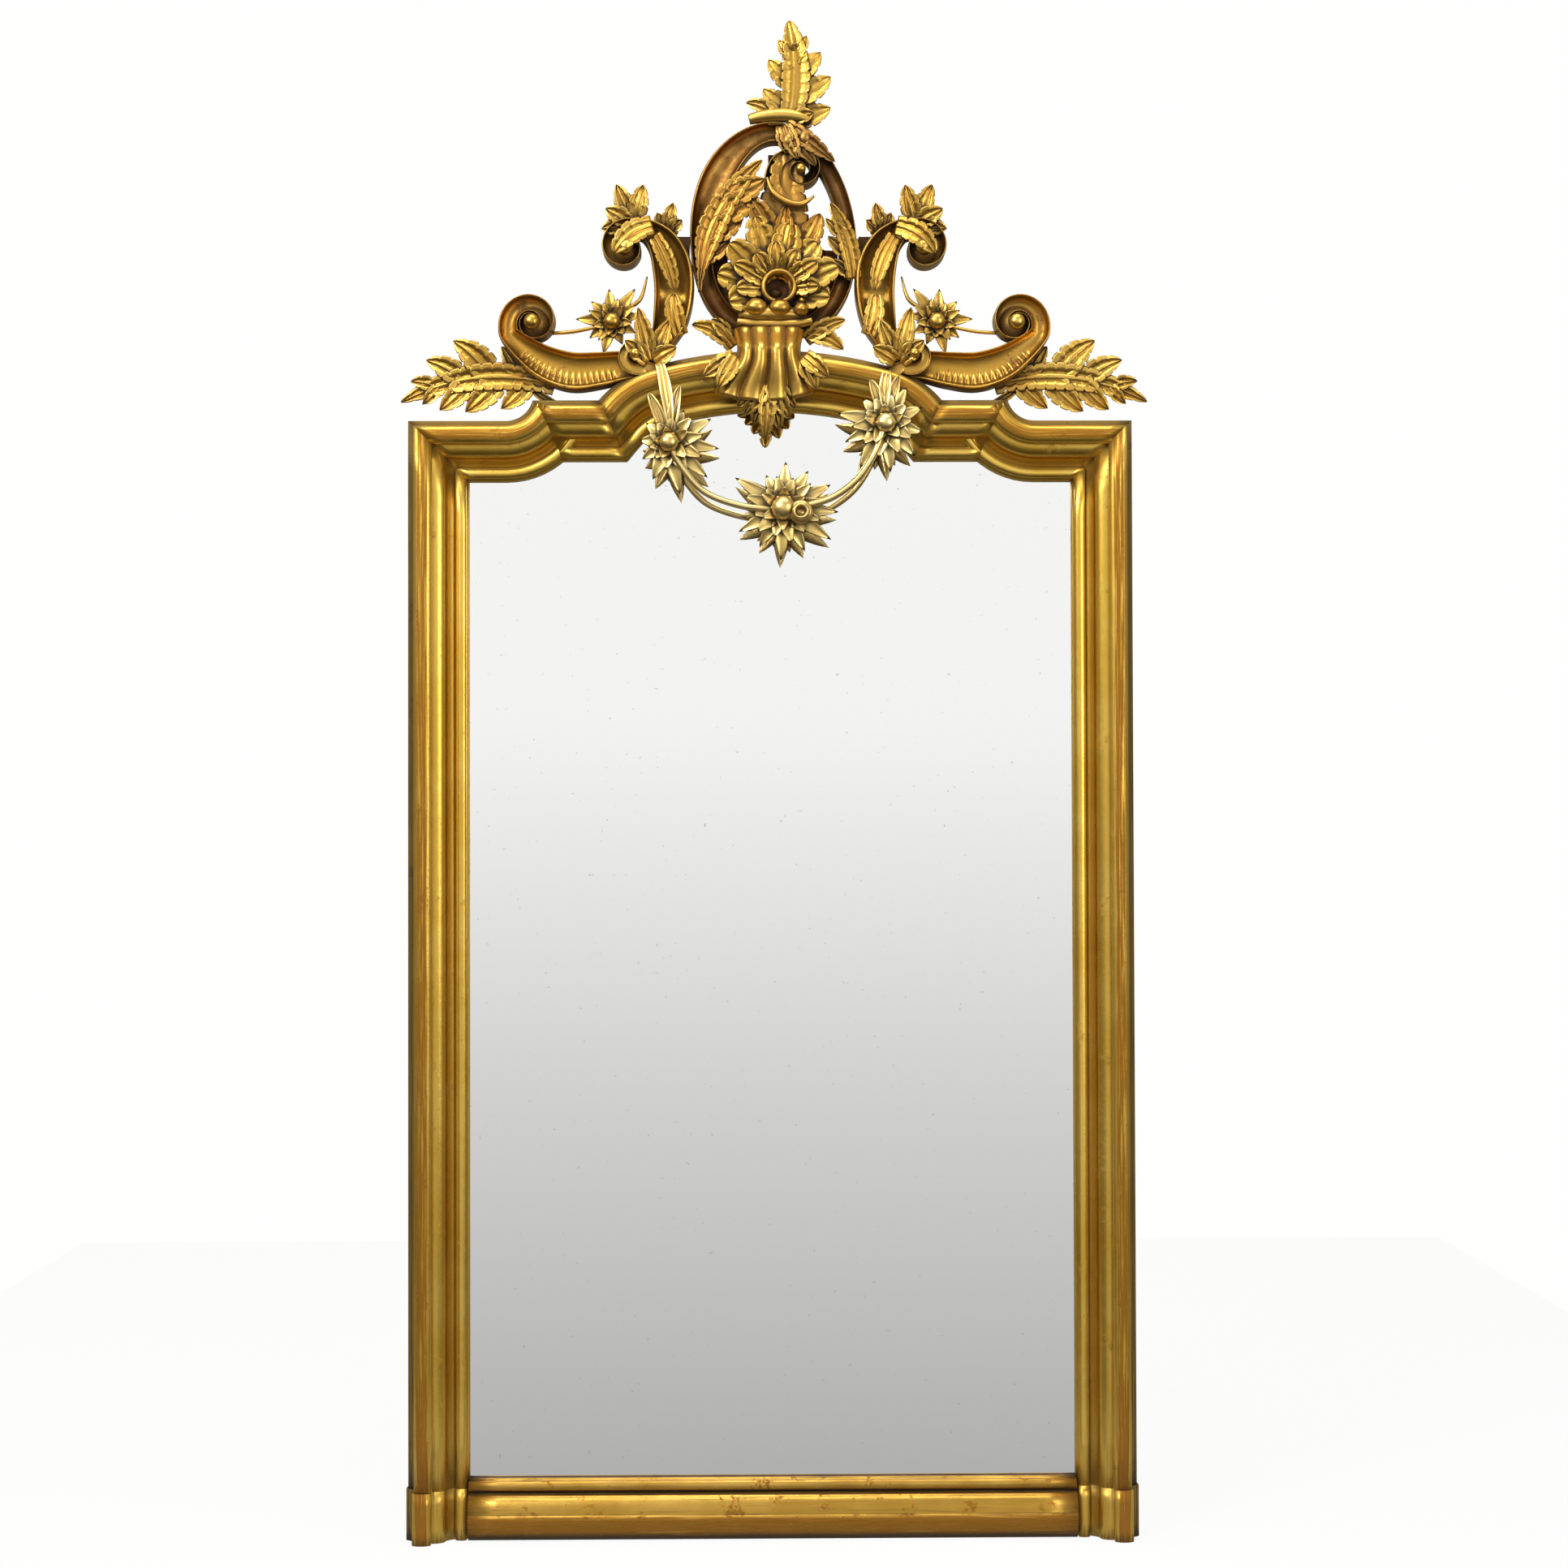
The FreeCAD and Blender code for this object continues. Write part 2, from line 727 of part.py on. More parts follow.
def turned(middle, rings, sides):
    """A carved round with flat facets; rings holds a radius and a distance off the wall each.

    A radius of nothing closes the round in a point.
    """
    def ring_points(radius, fore):
        angles = [2 * math.pi * (index + 0.5) / sides for index in range(sides)]
        return [middle + Vector(math.cos(a) * radius, -fore, math.sin(a) * radius) for a in angles]

    def closed(points):
        return Part.Face(Part.makePolygon(points + points[:1]))

    loops = [ring_points(*ring) for ring in rings]
    faces = [closed(loops[0])]
    for low, high, (radius, fore) in zip(loops, loops[1:], rings[1:]):
        for index in range(sides):
            after = (index + 1) % sides
            top = [high[after], high[index]] if radius else [middle + FRONT * fore]
            faces.append(closed([low[index], low[after]] + top))
    if rings[-1][0]:
        faces.append(closed(loops[-1]))
    return Part.makeSolid(Part.makeShell(faces))


def bud(middle, radius, back, fore, sides=7):
    """A bud that swells and then narrows to the front."""
    waist = back + (fore - back) * 0.5
    return turned(middle, [(radius * 0.6, back), (radius, waist), (radius * 0.4, fore)], sides)


def flower(middle, reach, back, fore, count, turn=0.0):
    """A wild-rose head: a bud among pointed petals, every second one higher and shorter."""
    depth = fore - back
    pieces = [bud(middle, reach * 0.34, back, fore)]
    for index in range(count):
        angle = math.radians(turn) + 2 * math.pi * index / count
        direction = Vector(math.cos(angle), 0, math.sin(angle))
        length = reach * (1.0 if index % 2 else 0.85)
        lift = back + depth * (0.35 if index % 2 else 0.6)
        pieces.append(petal(middle, direction, reach * 0.1, length, reach * 0.15, lift, lift + 4))
    return joined(*pieces)


def stem(place, root, bow, tip, fore, radius):
    """A six-sided stem bent in flats along the arc through three points of the front view."""
    points = [front_point(*place(*point), fore) for point in (root, bow, tip)]
    arc = Part.Arc(*points).toShape()
    path = Part.makePolygon(arc.discretize(max(3, round(arc.Length / 22) + 1)))
    toward = (path.Vertexes[1].Point - path.Vertexes[0].Point).normalize()
    across = toward.cross(FRONT)
    corners = []
    for index in range(6):
        angle = math.pi * index / 3
        corners.append(points[0] + across * (radius * math.cos(angle))
                       + FRONT * (radius * math.sin(angle)))
    return mitred_sweep(path, Part.makePolygon(corners + corners[:1]))


def with_volute(body, place, middle, radius, fore):
    """A band with its turned-in end: a rim round a sunk channel and a raised eye."""
    spot = front_point(*place(*middle))
    sides = max(12, round(2 * math.pi * radius / size("facet")))
    rings = [
        (radius, CREST_BACK),
        (radius, fore),
        (radius - size("rim_width"), fore),
        (radius * 0.4, fore - size("gouge_depth") * 0.7),
        (0.0, fore + size("eye_rise")),
    ]
    ground = turned(spot, [(radius - 1, CREST_BACK), (radius - 1, fore + 20)], sides)
    return joined(body.cut(ground), turned(spot, rings, sides))


def arc_normals(first, middle, last):
    """Left-hand normals of the arc through three points, at each of them."""
    (ax, az), (bx, bz), (cx, cz) = first, middle, last
    twist = 2 * (ax * (bz - cz) + bx * (cz - az) + cx * (az - bz))
    squares = [x * x + z * z for x, z in (first, middle, last)]
    ox = (squares[0] * (bz - cz) + squares[1] * (cz - az) + squares[2] * (az - bz)) / twist
    oz = (squares[0] * (cx - bx) + squares[1] * (ax - cx) + squares[2] * (bx - ax)) / twist
    hand = 1 if twist > 0 else -1
    normals = []
    for x, z in (first, middle, last):
        reach = math.hypot(ox - x, oz - z)
        normals.append((hand * (ox - x) / reach, hand * (oz - z) / reach))
    return normals


def ribbon(place, line, half_widths, trim=0.0):
    """Outline of a band that swells and narrows along a chain of three-point arcs.

    line holds a start and then a middle and an end for each arc; half_widths belong to its
    points, and trim narrows the whole band.
    """
    normals = []
    for index in range(0, len(line) - 2, 2):
        here = arc_normals(*line[index:index + 3])
        if normals:
            joint = [sum(pair) for pair in zip(normals.pop(), here[0])]
            reach = math.hypot(*joint)
            here[0] = (joint[0] / reach, joint[1] / reach)
        normals += here

    def edge(index, sign):
        half = sign * max(half_widths[index] - trim, 1.0)
        return (line[index][0] + half * normals[index][0], line[index][1] + half * normals[index][1])

    last = len(line) - 1
    outline = Outline(place, edge(0, 1))
    for index in range(0, last, 2):
        outline.arc(edge(index + 1, 1), edge(index + 2, 1))
    outline.line(edge(last, -1))
    for index in range(last, 0, -2):
        outline.arc(edge(index - 1, -1), edge(index - 2, -1))
    return outline


def gouged(place, line, half_widths):
    """A scroll's band with a hollow carved between its rims."""
    solid = ribbon(place, line, half_widths).solid(CREST_BACK, CREST_FRONT)
    hollow = ribbon(place, line, half_widths, size("rim_width"))
    return solid.cut(hollow.solid(CREST_FRONT - size("gouge_depth"), CREST_FRONT + 1))


# ---------------------------------------------------------------- crest: the flanks

def lower_scroll(side):
    """The long scroll that lies along the frame's step and winds up at its outer end."""
    place = flank(side)
    line = [(-53, 66), (-34, 51), (-12, 42), (8, 38), (28, 37), (60, 42), (92, 60), (114, 80),
            (124, 104)]
    half_widths = [25, 27, 27.5, 27.5, 27.5, 26, 23, 18, 12]
    body = gouged(place, line, half_widths)
    return with_volute(body, place, (101, 100), size("volute_radius"), CREST_FRONT + 6)


def upper_scroll(side):
    """The scroll that stands on the arch and winds up at its head."""
    place = flank(side)
    line = [(-80, 30), (-98, 90), (-103.5, 150), (-98, 190), (-78, 226), (-66, 236), (-50, 241)]
    half_widths = [24, 24.5, 26.5, 25, 17, 13, 9]
    body = gouged(place, line, half_widths)
    body = with_volute(body, place, (-47, 214), size("volute_radius"), CREST_FRONT + 6)
    crown = leaf(place, (-92, 226), (-99, 247), (-100, 268), 13, 2, CREST_BACK + 8, rise=2.0)
    return joined(body, crown)


def outer_leaf(side):
    """The long leaf that runs out over the shoulder from under the lower scroll."""
    place = flank(side)
    blade = leaf(place, (52, 12), (150, 40), (272, -4), 38, 5, CREST_BACK + 4, rise=6.0, notch=0.42)
    foot = Outline(place, (206, -40)).line((206, 14), (222, 14), (222, -40))
    heel = Outline(place, (56, -12)).line((56, 22), (78, 22), (78, -12))
    return joined(blade, foot.solid(CREST_BACK + 4, CREST_BACK + 14),
                  heel.solid(CREST_BACK + 4, CREST_BACK + 14))


def tip_leaf(side):
    """The small leaf that stands on the upper volute."""
    place = flank(side)
    return leaf(place, (-46, 244), (-40, 264), (-30, 288), 18, 3, CREST_BACK + 10, rise=2.0)


def junction_leaf(side):
    """The leaf laid over the place where the two scrolls meet."""
    place = flank(side)
    return leaf(place, (-92, 52), (-70, 84), (-64, 128), 30, 3, CREST_FRONT, rise=-5.0)


def bridge(side):
    """The plain block that ties an upper scroll to the centre."""
    place = flank(side)
    outline = Outline(place, (-106, 186)).line((-106, 226), (-150, 226), (-150, 186))
    return outline.solid(CREST_BACK, CREST_BACK + 20)


def sprig(side):
    """A rose head on wire between the two volutes."""
    place = flank(side)
    x, z = place(-19.5, 114.4)
    head = flower(Vector(x, 0, z), 40, 22, 54, 6, turn=20)
    low = stem(place, (72, 92), (40, 92), (-14, 106), 34, size("wire_radius"))
    high = stem(place, (-27, 118), (-52, 134), (-77, 168), 34, size("wire_radius"))
    return joined(head, low, high)


# ---------------------------------------------------------------- crest: the centre

def batten_blank():
    """The pine batten let into the back of the head rail, which carries the centre."""
    x = size("batten_offset")
    half = size("batten_width") / 2
    return block(x - half, APEX - size("batten_foot"), 0.0, x + half,
                 APEX + size("batten_rise"), size("batten_thickness"))


def centre_loop():
    """The pierced ring of two bent arms that the centre is built round."""
    outer = Outline(centre, (-22, 315))
    outer.arc((-84, 262), (-102, 205))
    outer.arc((-110, 140), (-104, 75))
    outer.arc((-92, 45), (-62, 24))
    outer.line((50, 24))
    outer.arc((96, 52), (113, 86))
    outer.arc((122, 135), (118, 180))
    outer.arc((104, 228), (78, 268))
    outer.arc((66, 292), (50, 315))
    inner = Outline(centre, (20, 276))
    inner.arc((-14, 284), (-40, 262))
    inner.arc((-70, 200), (-78, 130))
    inner.arc((-72, 88), (-46, 58))
    inner.line((44, 58))
    inner.arc((82, 82), (94, 130))
    inner.arc((96, 176), (84, 212))
    inner.arc((68, 240), (46, 255))
    ring = outer.solid(CREST_BACK, CREST_BACK + 34)
    return ring.cut(inner.solid(CREST_BACK - 1, CREST_FRONT + 10))


def centre_shell():
    """A fan of leaves round the shell's mouth."""
    x, up = 9.0, 85.0
    core = Outline(centre, (x - 34, 58)).arc((x - 46, up), (x - 30, up + 36))
    core.arc((x, up + 48), (x + 30, up + 36)).arc((x + 46, up), (x + 34, 58))
    pieces = [core.solid(CREST_BACK, 56)]
    for angle, reach in ((162, 78), (126, 94), (90, 98), (54, 94), (18, 78)):
        turn = math.radians(angle)
        toward = (math.cos(turn), math.sin(turn))
        root = (x + toward[0] * 16, up + toward[1] * 16)
        tip = (x + toward[0] * reach, up + toward[1] * reach)
        bow = ((root[0] + tip[0]) / 2, (root[1] + tip[1]) / 2)
        pieces.append(leaf(centre, root, bow, tip, 24, 2, 44, rise=4.0, stalk=0.6))
    shell = joined(*pieces)
    lip = turned(front_point(*centre(x, up)), [(26, 40), (26, 62), (22, 68)], 12)
    mouth = turned(front_point(*centre(x, up)), [(15, 30), (18.5, 80)], 12)
    return joined(shell, lip).cut(mouth)


def centre_volute():
    """The small scroll that rises out of the shell to the head of the loop."""
    band = Outline(centre, (-14, 190))
    band.arc((-8, 214), (-4, 240))
    band.arc((10, 268), (34, 266))
    band.line((50, 228))
    band.arc((50, 210), (58, 190))
    return with_volute(band.solid(CREST_BACK, 50), centre, (42, 248), 19, 54)


def apex_leaf():
    """The tall leaf at the top, in a moulded collar with a curled horn."""
    blade = leaf(centre, (16, 318), (30, 386), (26, 452), 42, 4, 24, rise=7.0, notch=0.45)
    collar = Outline(centre, (-26, 313)).arc((12, 311), (52, 313))
    collar.arc((54, 320), (50, 330)).arc((14, 326), (-20, 330))
    horn = Outline(centre, (-22, 316)).arc((-32, 330), (-30, 352)).arc((-22, 338), (-6, 332))
    horn.line((-6, 316))
    return joined(blade, collar.solid(CREST_BACK, 50), horn.solid(20, 40))


def shell_collar():
    """The knobbed band under the shell's mouth."""
    bar = Outline(centre, (-43, 30)).line((-43, 60), (44, 60), (44, 30)).solid(44, 64)
    knobs = []
    for index in range(5):
        x = -33 + index * 17
        knobs.append(bud(front_point(*centre(x, 47)), 10, 58, 76, sides=6))
    return joined(bar, *knobs)


def clasp():
    """The fluted clasp that comes down over the arch and ends in a leaf in front of the glass."""
    apron = Outline(centre, (-50, 30))
    apron.arc((-44, -6), (-54, -52))
    apron.line((-48, -62), (-42, -96), (-30, -90), (-22, -110), (-12, -102), (0, -127))
    apron.line((11, -104), (21, -112), (25, -96), (36, -98), (44, -62), (54, -52))
    apron.arc((44, -6), (50, 30))
    front = apron.solid(FORE, FORE + 18)
    head = Outline(centre, (-50, 30)).arc((-46, 8), (-46, -30)).line((46, -30))
    head.arc((46, 8), (50, 30))
    body = joined(front, head.solid(CREST_BACK, FORE + 18))
    for index in range(4):
        x = -34.5 + index * 23
        middle = front_point(*centre(x, -56), FORE + 23)
        corners = [middle + Vector(sideways, back, 0)
                   for sideways, back in ((-8, 0), (-5.5, 8), (5.5, 8), (8, 0))]
        flute = Part.Face(Part.makePolygon(corners + corners[:1])).extrude(Vector(0, 0, 84))
        body = body.cut(flute)
    return body


def clasp_leaf(side):
    """The leaf that curls out from the clasp along the arch."""
    tip = (-82, -56) if side == LEFT else (78, -62)
    root = (-44, -44) if side == LEFT else (42, -48)
    bow = ((root[0] + tip[0]) / 2, root[1] - 12)
    return leaf(centre, root, bow, tip, 15, 2, FORE, rise=-3.0)


def clasp_wing(side):
    """The curled wing that springs from under the loop beside the clasp."""
    wing = Outline(centre, (side * 44, 6))
    wing.arc((side * 66, 12), (side * 98, -2))
    wing.arc((side * 104, 18), (side * 100, 40))
    wing.line((side * 88, 46))
    wing.arc((side * 70, 36), (side * 44, 30))
    return wing.solid(CREST_BACK + 12, CREST_BACK + 30)


def loop_leaf(side):
    """A leaf laid on one arm of the loop, its tip reaching into the opening."""
    front = CREST_BACK + 34
    if side == LEFT:
        return leaf(centre, (-94, 112), (-82, 200), (-14, 262), 26, 4, front, rise=-4.0)
    return leaf(centre, (108, 112), (100, 160), (76, 210), 20, 3, front, rise=-4.0)


# ---------------------------------------------------------------- crest: the festoon

def arch_height(x):
    """Height of the frame's top edge above x, under the arch."""
    x = abs(x)
    if x <= CROWN * math.sin(CROWN_ANGLE):
        return CROWN_Z + math.sqrt(CROWN ** 2 - x ** 2)
    return HAUNCH_Z + math.sqrt(max(HAUNCH ** 2 - (x - HAUNCH_X) ** 2, 0.0))


def hung_flower(side):
    """A rose head that hangs by leaf straps from the arch's front."""
    middle = (-138.6, -127.0) if side == LEFT else (155.0, -101.0)
    x, z = centre(*middle)
    head = flower(Vector(x, 0, z), 60, FORE + 2, FORE + 34, 8, turn=12 * side)
    strap_top = arch_height(x) - 8
    ribbon = Outline(plain, (x - 7, z)).line((x - 9, strap_top), (x + 11, strap_top), (x + 8, z))
    return joined(head, ribbon.solid(FORE, FORE + 8))


def middle_flower():
    """The double head in the middle of the festoon."""
    x, z = centre(20, -220)
    return flower(Vector(x, 0, z), 66, FORE + 2, FORE + 36, 10, turn=8)


def festoon_stem(side):
    """The bent stem between a hung flower and the middle one."""
    points = ([(-134, -140), (-92, -196), (2, -222)] if side == LEFT
              else [(152, -112), (112, -186), (36, -220)])
    return stem(centre, *points, FORE + 14, size("stem_radius"))


# ---------------------------------------------------------------- building

def build_frame():
    """Carcass, mouldings, glass, boards and hangers. Gives back the nodes."""
    nodes = []
    nails = group_node("backboard_nails", backboard_nails())
    crest_pins = batten_nails()
    crest_nails = group_node("crest_nails", crest_pins)
    strap_pins = {side: hanger_nails(side) for side in (LEFT, RIGHT)}
    strap_nails = group_node("hanger_nails", strap_pins[LEFT] + strap_pins[RIGHT])
    nodes += [nails, crest_nails, strap_nails]
    for side in (LEFT, RIGHT):
        name = SIDE_NAMES[side]
        nodes.append(cut_node(f"carcass_stile_{name}", carcass_stile(side), nails, strap_nails))
        nodes.append(solid_node(f"hanger_strap_{name}", hanger_strap(side, strap_pins[side])))
        nodes.append(solid_node(f"hanger_ring_{name}", hanger_ring(side)))
    nodes.append(cut_node("carcass_rail_bottom", carcass_rail_bottom(), nails))
    top = solid_node("rail_top_blank", carcass_rail_top())
    nodes.append(cut_node("carcass_rail_top", top, nails, crest_nails))
    batten = solid_node("batten_plain", batten_blank())
    nodes.append(cut_node("crest_batten", batten, crest_nails))
    for name, strip in backboard_strips().items():
        plain_strip = solid_node(f"board_{name}_blank", strip)
        nodes.append(cut_node(f"backboard_{name}", plain_strip, nails))
    glass = shaped_panel(CARCASS_WIDTH + size("glass_gap"), CARCASS_LOW + size("glass_gap"))
    nodes.append(solid_node("mirror_glass", board(glass, CARCASS - size("glass_thickness"), CARCASS)))
    nodes.append(group_node("glazing_blocks", glazing_blocks()))
    return nodes + mouldings(), crest_pins


def batten_nails():
    """Nails through the batten: two into the head rail and three into the centre's carving."""
    length = size("batten_thickness") + size("nail_length") / 2
    return [
        cut_nail(front_point(*centre(size("batten_offset"), up)), size("strap_nail_half"), length)
        for up in (-42, -14, 44, 100, 262)
    ]


def sketched_moulding(label, role, section, offset, width, height, length, swap):
    """A straight moulding: its section in a sketch, padded to its length."""
    body = new_body(label)
    sketch = new_sketch(body, f"{label}_section", role, offset)

    def at(across, forth):
        if swap:
            return Vector(-forth * height, across * width, 0)
        return Vector(across * width, -forth * height, 0)

    for curve in section_curves(section, at):
        sketch.addGeometry(curve, False)
    pad(body, sketch, length)
    return body


def mouldings():
    """The gilt mouldings round the frame, mitred where they meet, and the plinths."""
    nodes = []
    kink = front_point(-KINK, STEP)
    mitre = Vector(MITRE_LEAN, 0, -1)
    inset_points = [step_corner(inset) for inset in (-5.0, WIDTH / 2, WIDTH + 5)]
    step_region = Outline(plain, inset_points[0]).arc(inset_points[1], inset_points[2])
    low_end = kink + mitre * (WIDTH + 5)
    high_end = kink - mitre * 5
    step_region.line((low_end.x, low_end.z), (high_end.x, high_end.z))
    region = step_region.solid(0.0, FORE + 10)
    down = Vector(0, 0, -1)

    corner = front_point(-HALF, SHOULDER)
    shoulder = straight_run(corner, front_point(-COVE_X, SHOULDER), down)
    cove_end = math.degrees(math.asin((COVE_Z - STEP) / COVE))
    cove = curved_run(front_point(-COVE_X, COVE_Z), COVE, -90.0, 94.0 - cove_end, True)
    beyond_corner = Outline(plain, (-HALF - 10, SHOULDER + 10))
    beyond_corner.line((-HALF + WIDTH + 10, SHOULDER - WIDTH - 10), (-HALF - 10, SHOULDER - WIDTH - 10))
    shoulder = joined(shoulder, cove).cut(region).cut(mitre_half(kink, mitre, RIGHT))
    shoulder = shoulder.cut(beyond_corner.solid(0.0, FORE + 10))

    step = straight_run(front_point(-COVE_X, STEP), front_point(-KINK + WIDTH, STEP), down)
    step = step.common(region)

    along = Vector(math.cos(SLOPE), 0, math.sin(SLOPE))
    under = Vector(math.sin(SLOPE), 0, -math.cos(SLOPE))
    tail = straight_run(kink - along * WIDTH, kink, under)
    slope_angle = 90 + math.degrees(SLOPE)
    crown_angle = 90 + math.degrees(CROWN_ANGLE)
    haunch = curved_run(front_point(-HAUNCH_X, HAUNCH_Z), HAUNCH, crown_angle,
                        slope_angle - crown_angle, False)
    crown = curved_run(front_point(0, CROWN_Z), CROWN, 180 - crown_angle,
                       2 * crown_angle - 180, False)
    half_arch = joined(tail, haunch).cut(mitre_half(kink, mitre, LEFT))
    arch = joined(half_arch, crown, mirrored(half_arch))
    nodes.append(solid_node("arch_moulding", arch))

    for side in (LEFT, RIGHT):
        name = SIDE_NAMES[side]
        flip = (lambda shape: shape) if side == LEFT else mirrored
        nodes.append(solid_node(f"shoulder_moulding_{name}", flip(shoulder)))
        nodes.append(solid_node(f"step_moulding_{name}", flip(step)))
        nodes.append(stile_moulding(side))
        nodes.append(base_block(side))
    swell_free = "sizes.half_width - sizes.moulding_width"
    nodes.append(sketched_moulding(
        "bottom_moulding", "YZ_Plane", BOTTOM_SECTION,
        ("-sizes.carcass_depth", "sizes.bottom_clear", f"-({swell_free})"),
        size("bottom_width"), size("bottom_height"), f"2 * ({swell_free})", swap=True))
    return nodes


def mitre_half(kink, mitre, side):
    """Everything on one side of the kink's mitre, as a cutting tool."""
    near = kink - mitre * WIDTH
    far = kink + mitre * 2 * WIDTH
    away = side * REACH
    outline = Outline(plain, (near.x, near.z))
    outline.line((far.x, far.z), (far.x + away, far.z), (near.x + away, near.z))
    return outline.solid(0.0, FORE + 10)


def step_corner(inset):
    """Where the cove and the step meet at an inset from the outer edge, on the left."""
    reach = math.sqrt((COVE + inset) ** 2 - (COVE_Z - STEP + inset) ** 2)
    return reach - COVE_X, STEP - inset


def stile_moulding(side):
    """The upright moulding from plinth to shoulder, mitred at its head."""
    name = f"stile_moulding_{SIDE_NAMES[side]}"
    outer = f"{side} * sizes.half_width"
    body = sketched_moulding(
        name, "XY_Plane", MAIN_SECTION, (outer, "-sizes.carcass_depth", "sizes.plinth_height"),
        -side * WIDTH, MOULDING, "sizes.shoulder_height - sizes.plinth_height", swap=False)
    sketch = new_sketch(body, f"{name}_mitre", "XZ_Plane",
                        (outer, "sizes.shoulder_height", "sizes.carcass_depth"))
    draw_closed(sketch, [Vector(0, 0), Vector(-side * 10, -10), Vector(-side * 10, 0)])
    sketch.addConstraint(Sketcher.Constraint("Vertical", 1))
    sketch.addConstraint(Sketcher.Constraint("Horizontal", 2))
    sketch.addConstraint(Sketcher.Constraint("Equal", 1, 2))
    width = sketch.addConstraint(Sketcher.Constraint("Distance", 2, 10.0))
    sketch.setExpression(f"Constraints[{width}]", "sizes.moulding_width")
    pocket(body, sketch, "sizes.moulding_height + 1", forward=True)
    return body


def base_block(side):
    """The plinth under a stile: the same section, a little fuller, cut off square."""
    swell = size("plinth_swell")
    outer = f"{side} * (sizes.half_width + sizes.plinth_swell)"
    return sketched_moulding(
        f"base_block_{SIDE_NAMES[side]}", "XY_Plane", MAIN_SECTION,
        (outer, "-sizes.carcass_depth", "0"),
        -side * (WIDTH + swell), MOULDING + swell, "sizes.plinth_height", swap=False)


def build_crest(pins):
    """The carved crest, each piece cut to sit on the frame and on the pieces before it."""
    nodes = []
    envelope = board(shaped_panel(0.0, 0.0), 0.0, FORE)
    held = [envelope, batten_blank()] + pins

    def place(label, shape, *neighbours):
        solid = seated(shape, *held, *neighbours)
        nodes.append(solid_node(label, solid))
        return solid

    loop = place("centre_loop", centre_loop())
    shell = place("centre_shell", centre_shell(), loop)
    curl = place("centre_volute", centre_volute(), loop, shell)
    place("apex_leaf", apex_leaf(), loop)
    collar = place("shell_collar", shell_collar(), loop, shell)
    stalk = place("clasp", clasp(), loop, shell, collar)
    for side in (LEFT, RIGHT):
        name = SIDE_NAMES[side]
        place(f"clasp_leaf_{name}", clasp_leaf(side), stalk)
        place(f"clasp_wing_{name}", clasp_wing(side), stalk, loop, collar)
        climbing = place(f"loop_leaf_{name}", loop_leaf(side), loop, shell, curl)
        upper = place(f"upper_scroll_{name}", upper_scroll(side), loop, climbing)
        lower = place(f"lower_scroll_{name}", lower_scroll(side), upper)
        place(f"outer_leaf_{name}", outer_leaf(side), lower)
        place(f"tip_leaf_{name}", tip_leaf(side), upper)
        junction = place(f"junction_leaf_{name}", junction_leaf(side), upper, lower)
        place(f"bridge_{name}", bridge(side), upper, loop, climbing)
        place(f"sprig_{name}", sprig(side), upper, lower, junction)
    stems = [festoon_stem(side) for side in (LEFT, RIGHT)]
    heads = [hung_flower(side) for side in (LEFT, RIGHT)]
    for side, bent, head in zip((LEFT, RIGHT), stems, heads):
        name = SIDE_NAMES[side]
        nodes.append(solid_node(f"festoon_stem_{name}", bent))
        nodes.append(solid_node(f"festoon_flower_{name}", seated(head, bent, stalk)))
    nodes.append(solid_node("festoon_flower_centre", seated(middle_flower(), *stems)))
    return nodes


def check_and_write(nodes):
    """Stops at a failed object or a bad shape; then writes each node's file."""
    doc.recompute()
    for item in doc.Objects:
        if "Invalid" in item.State or "Error" in item.State:
            raise RuntimeError(f"{item.Name} failed: {item.State}")
    for node in nodes:
        if node.Shape.isNull() or not node.Shape.isValid() or not node.Shape.Solids:
            raise RuntimeError(f"{node.Label} has no valid solid")
    os.makedirs("parts", exist_ok=True)
    for node in nodes:
        node.Shape.exportStep(f"parts/{node.Label}.step")
        print(f"{node.Label:28s} {len(node.Shape.Solids):3d} solids {node.Shape.Volume / 1000:9.1f} ml")


frame_nodes, crest_pins = build_frame()
crest_nodes = build_crest(crest_pins)
check_and_write(frame_nodes + crest_nodes)
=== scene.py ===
"""Looks of a carved and gilded trumeau mirror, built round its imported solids.

Sizes are in millimetres until a piece is handed over. A place is (x, z, fore): x to the right,
z up from the foot and fore off the wall, towards the room.
"""
import logging
import math
from collections.abc import Callable, Iterable, Sequence
from dataclasses import dataclass, field
from enum import Enum
from typing import Any

import bmesh
import bpy
from mathutils import Matrix, Vector


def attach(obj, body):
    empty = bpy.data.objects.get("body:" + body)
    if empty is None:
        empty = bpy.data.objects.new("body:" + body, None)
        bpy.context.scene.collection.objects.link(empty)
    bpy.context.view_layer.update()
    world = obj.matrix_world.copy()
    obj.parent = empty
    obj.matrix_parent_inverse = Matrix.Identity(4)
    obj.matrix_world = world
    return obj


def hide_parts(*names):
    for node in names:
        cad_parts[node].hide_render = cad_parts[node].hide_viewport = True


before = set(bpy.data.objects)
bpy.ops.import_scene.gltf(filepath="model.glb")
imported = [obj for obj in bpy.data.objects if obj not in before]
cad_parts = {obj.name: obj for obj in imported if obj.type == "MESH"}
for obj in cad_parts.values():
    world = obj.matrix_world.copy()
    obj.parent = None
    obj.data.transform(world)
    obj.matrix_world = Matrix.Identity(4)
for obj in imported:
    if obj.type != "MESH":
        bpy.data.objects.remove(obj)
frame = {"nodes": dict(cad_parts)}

log = logging.getLogger("trumeau")

MM = 0.001
Pair = tuple[float, float]
Triple = tuple[float, float, float]
Colour = tuple[float, float, float]
Placing = Callable[[float, float], Vector]
Pairing = Callable[[float, float], Pair]


class Side(Enum):
    """The two halves of the mirror, as seen from the room."""

    LEFT = -1
    RIGHT = 1

    @property
    def tag(self) -> str:
        """The word that a node's name ends in."""
        return self.name.lower()


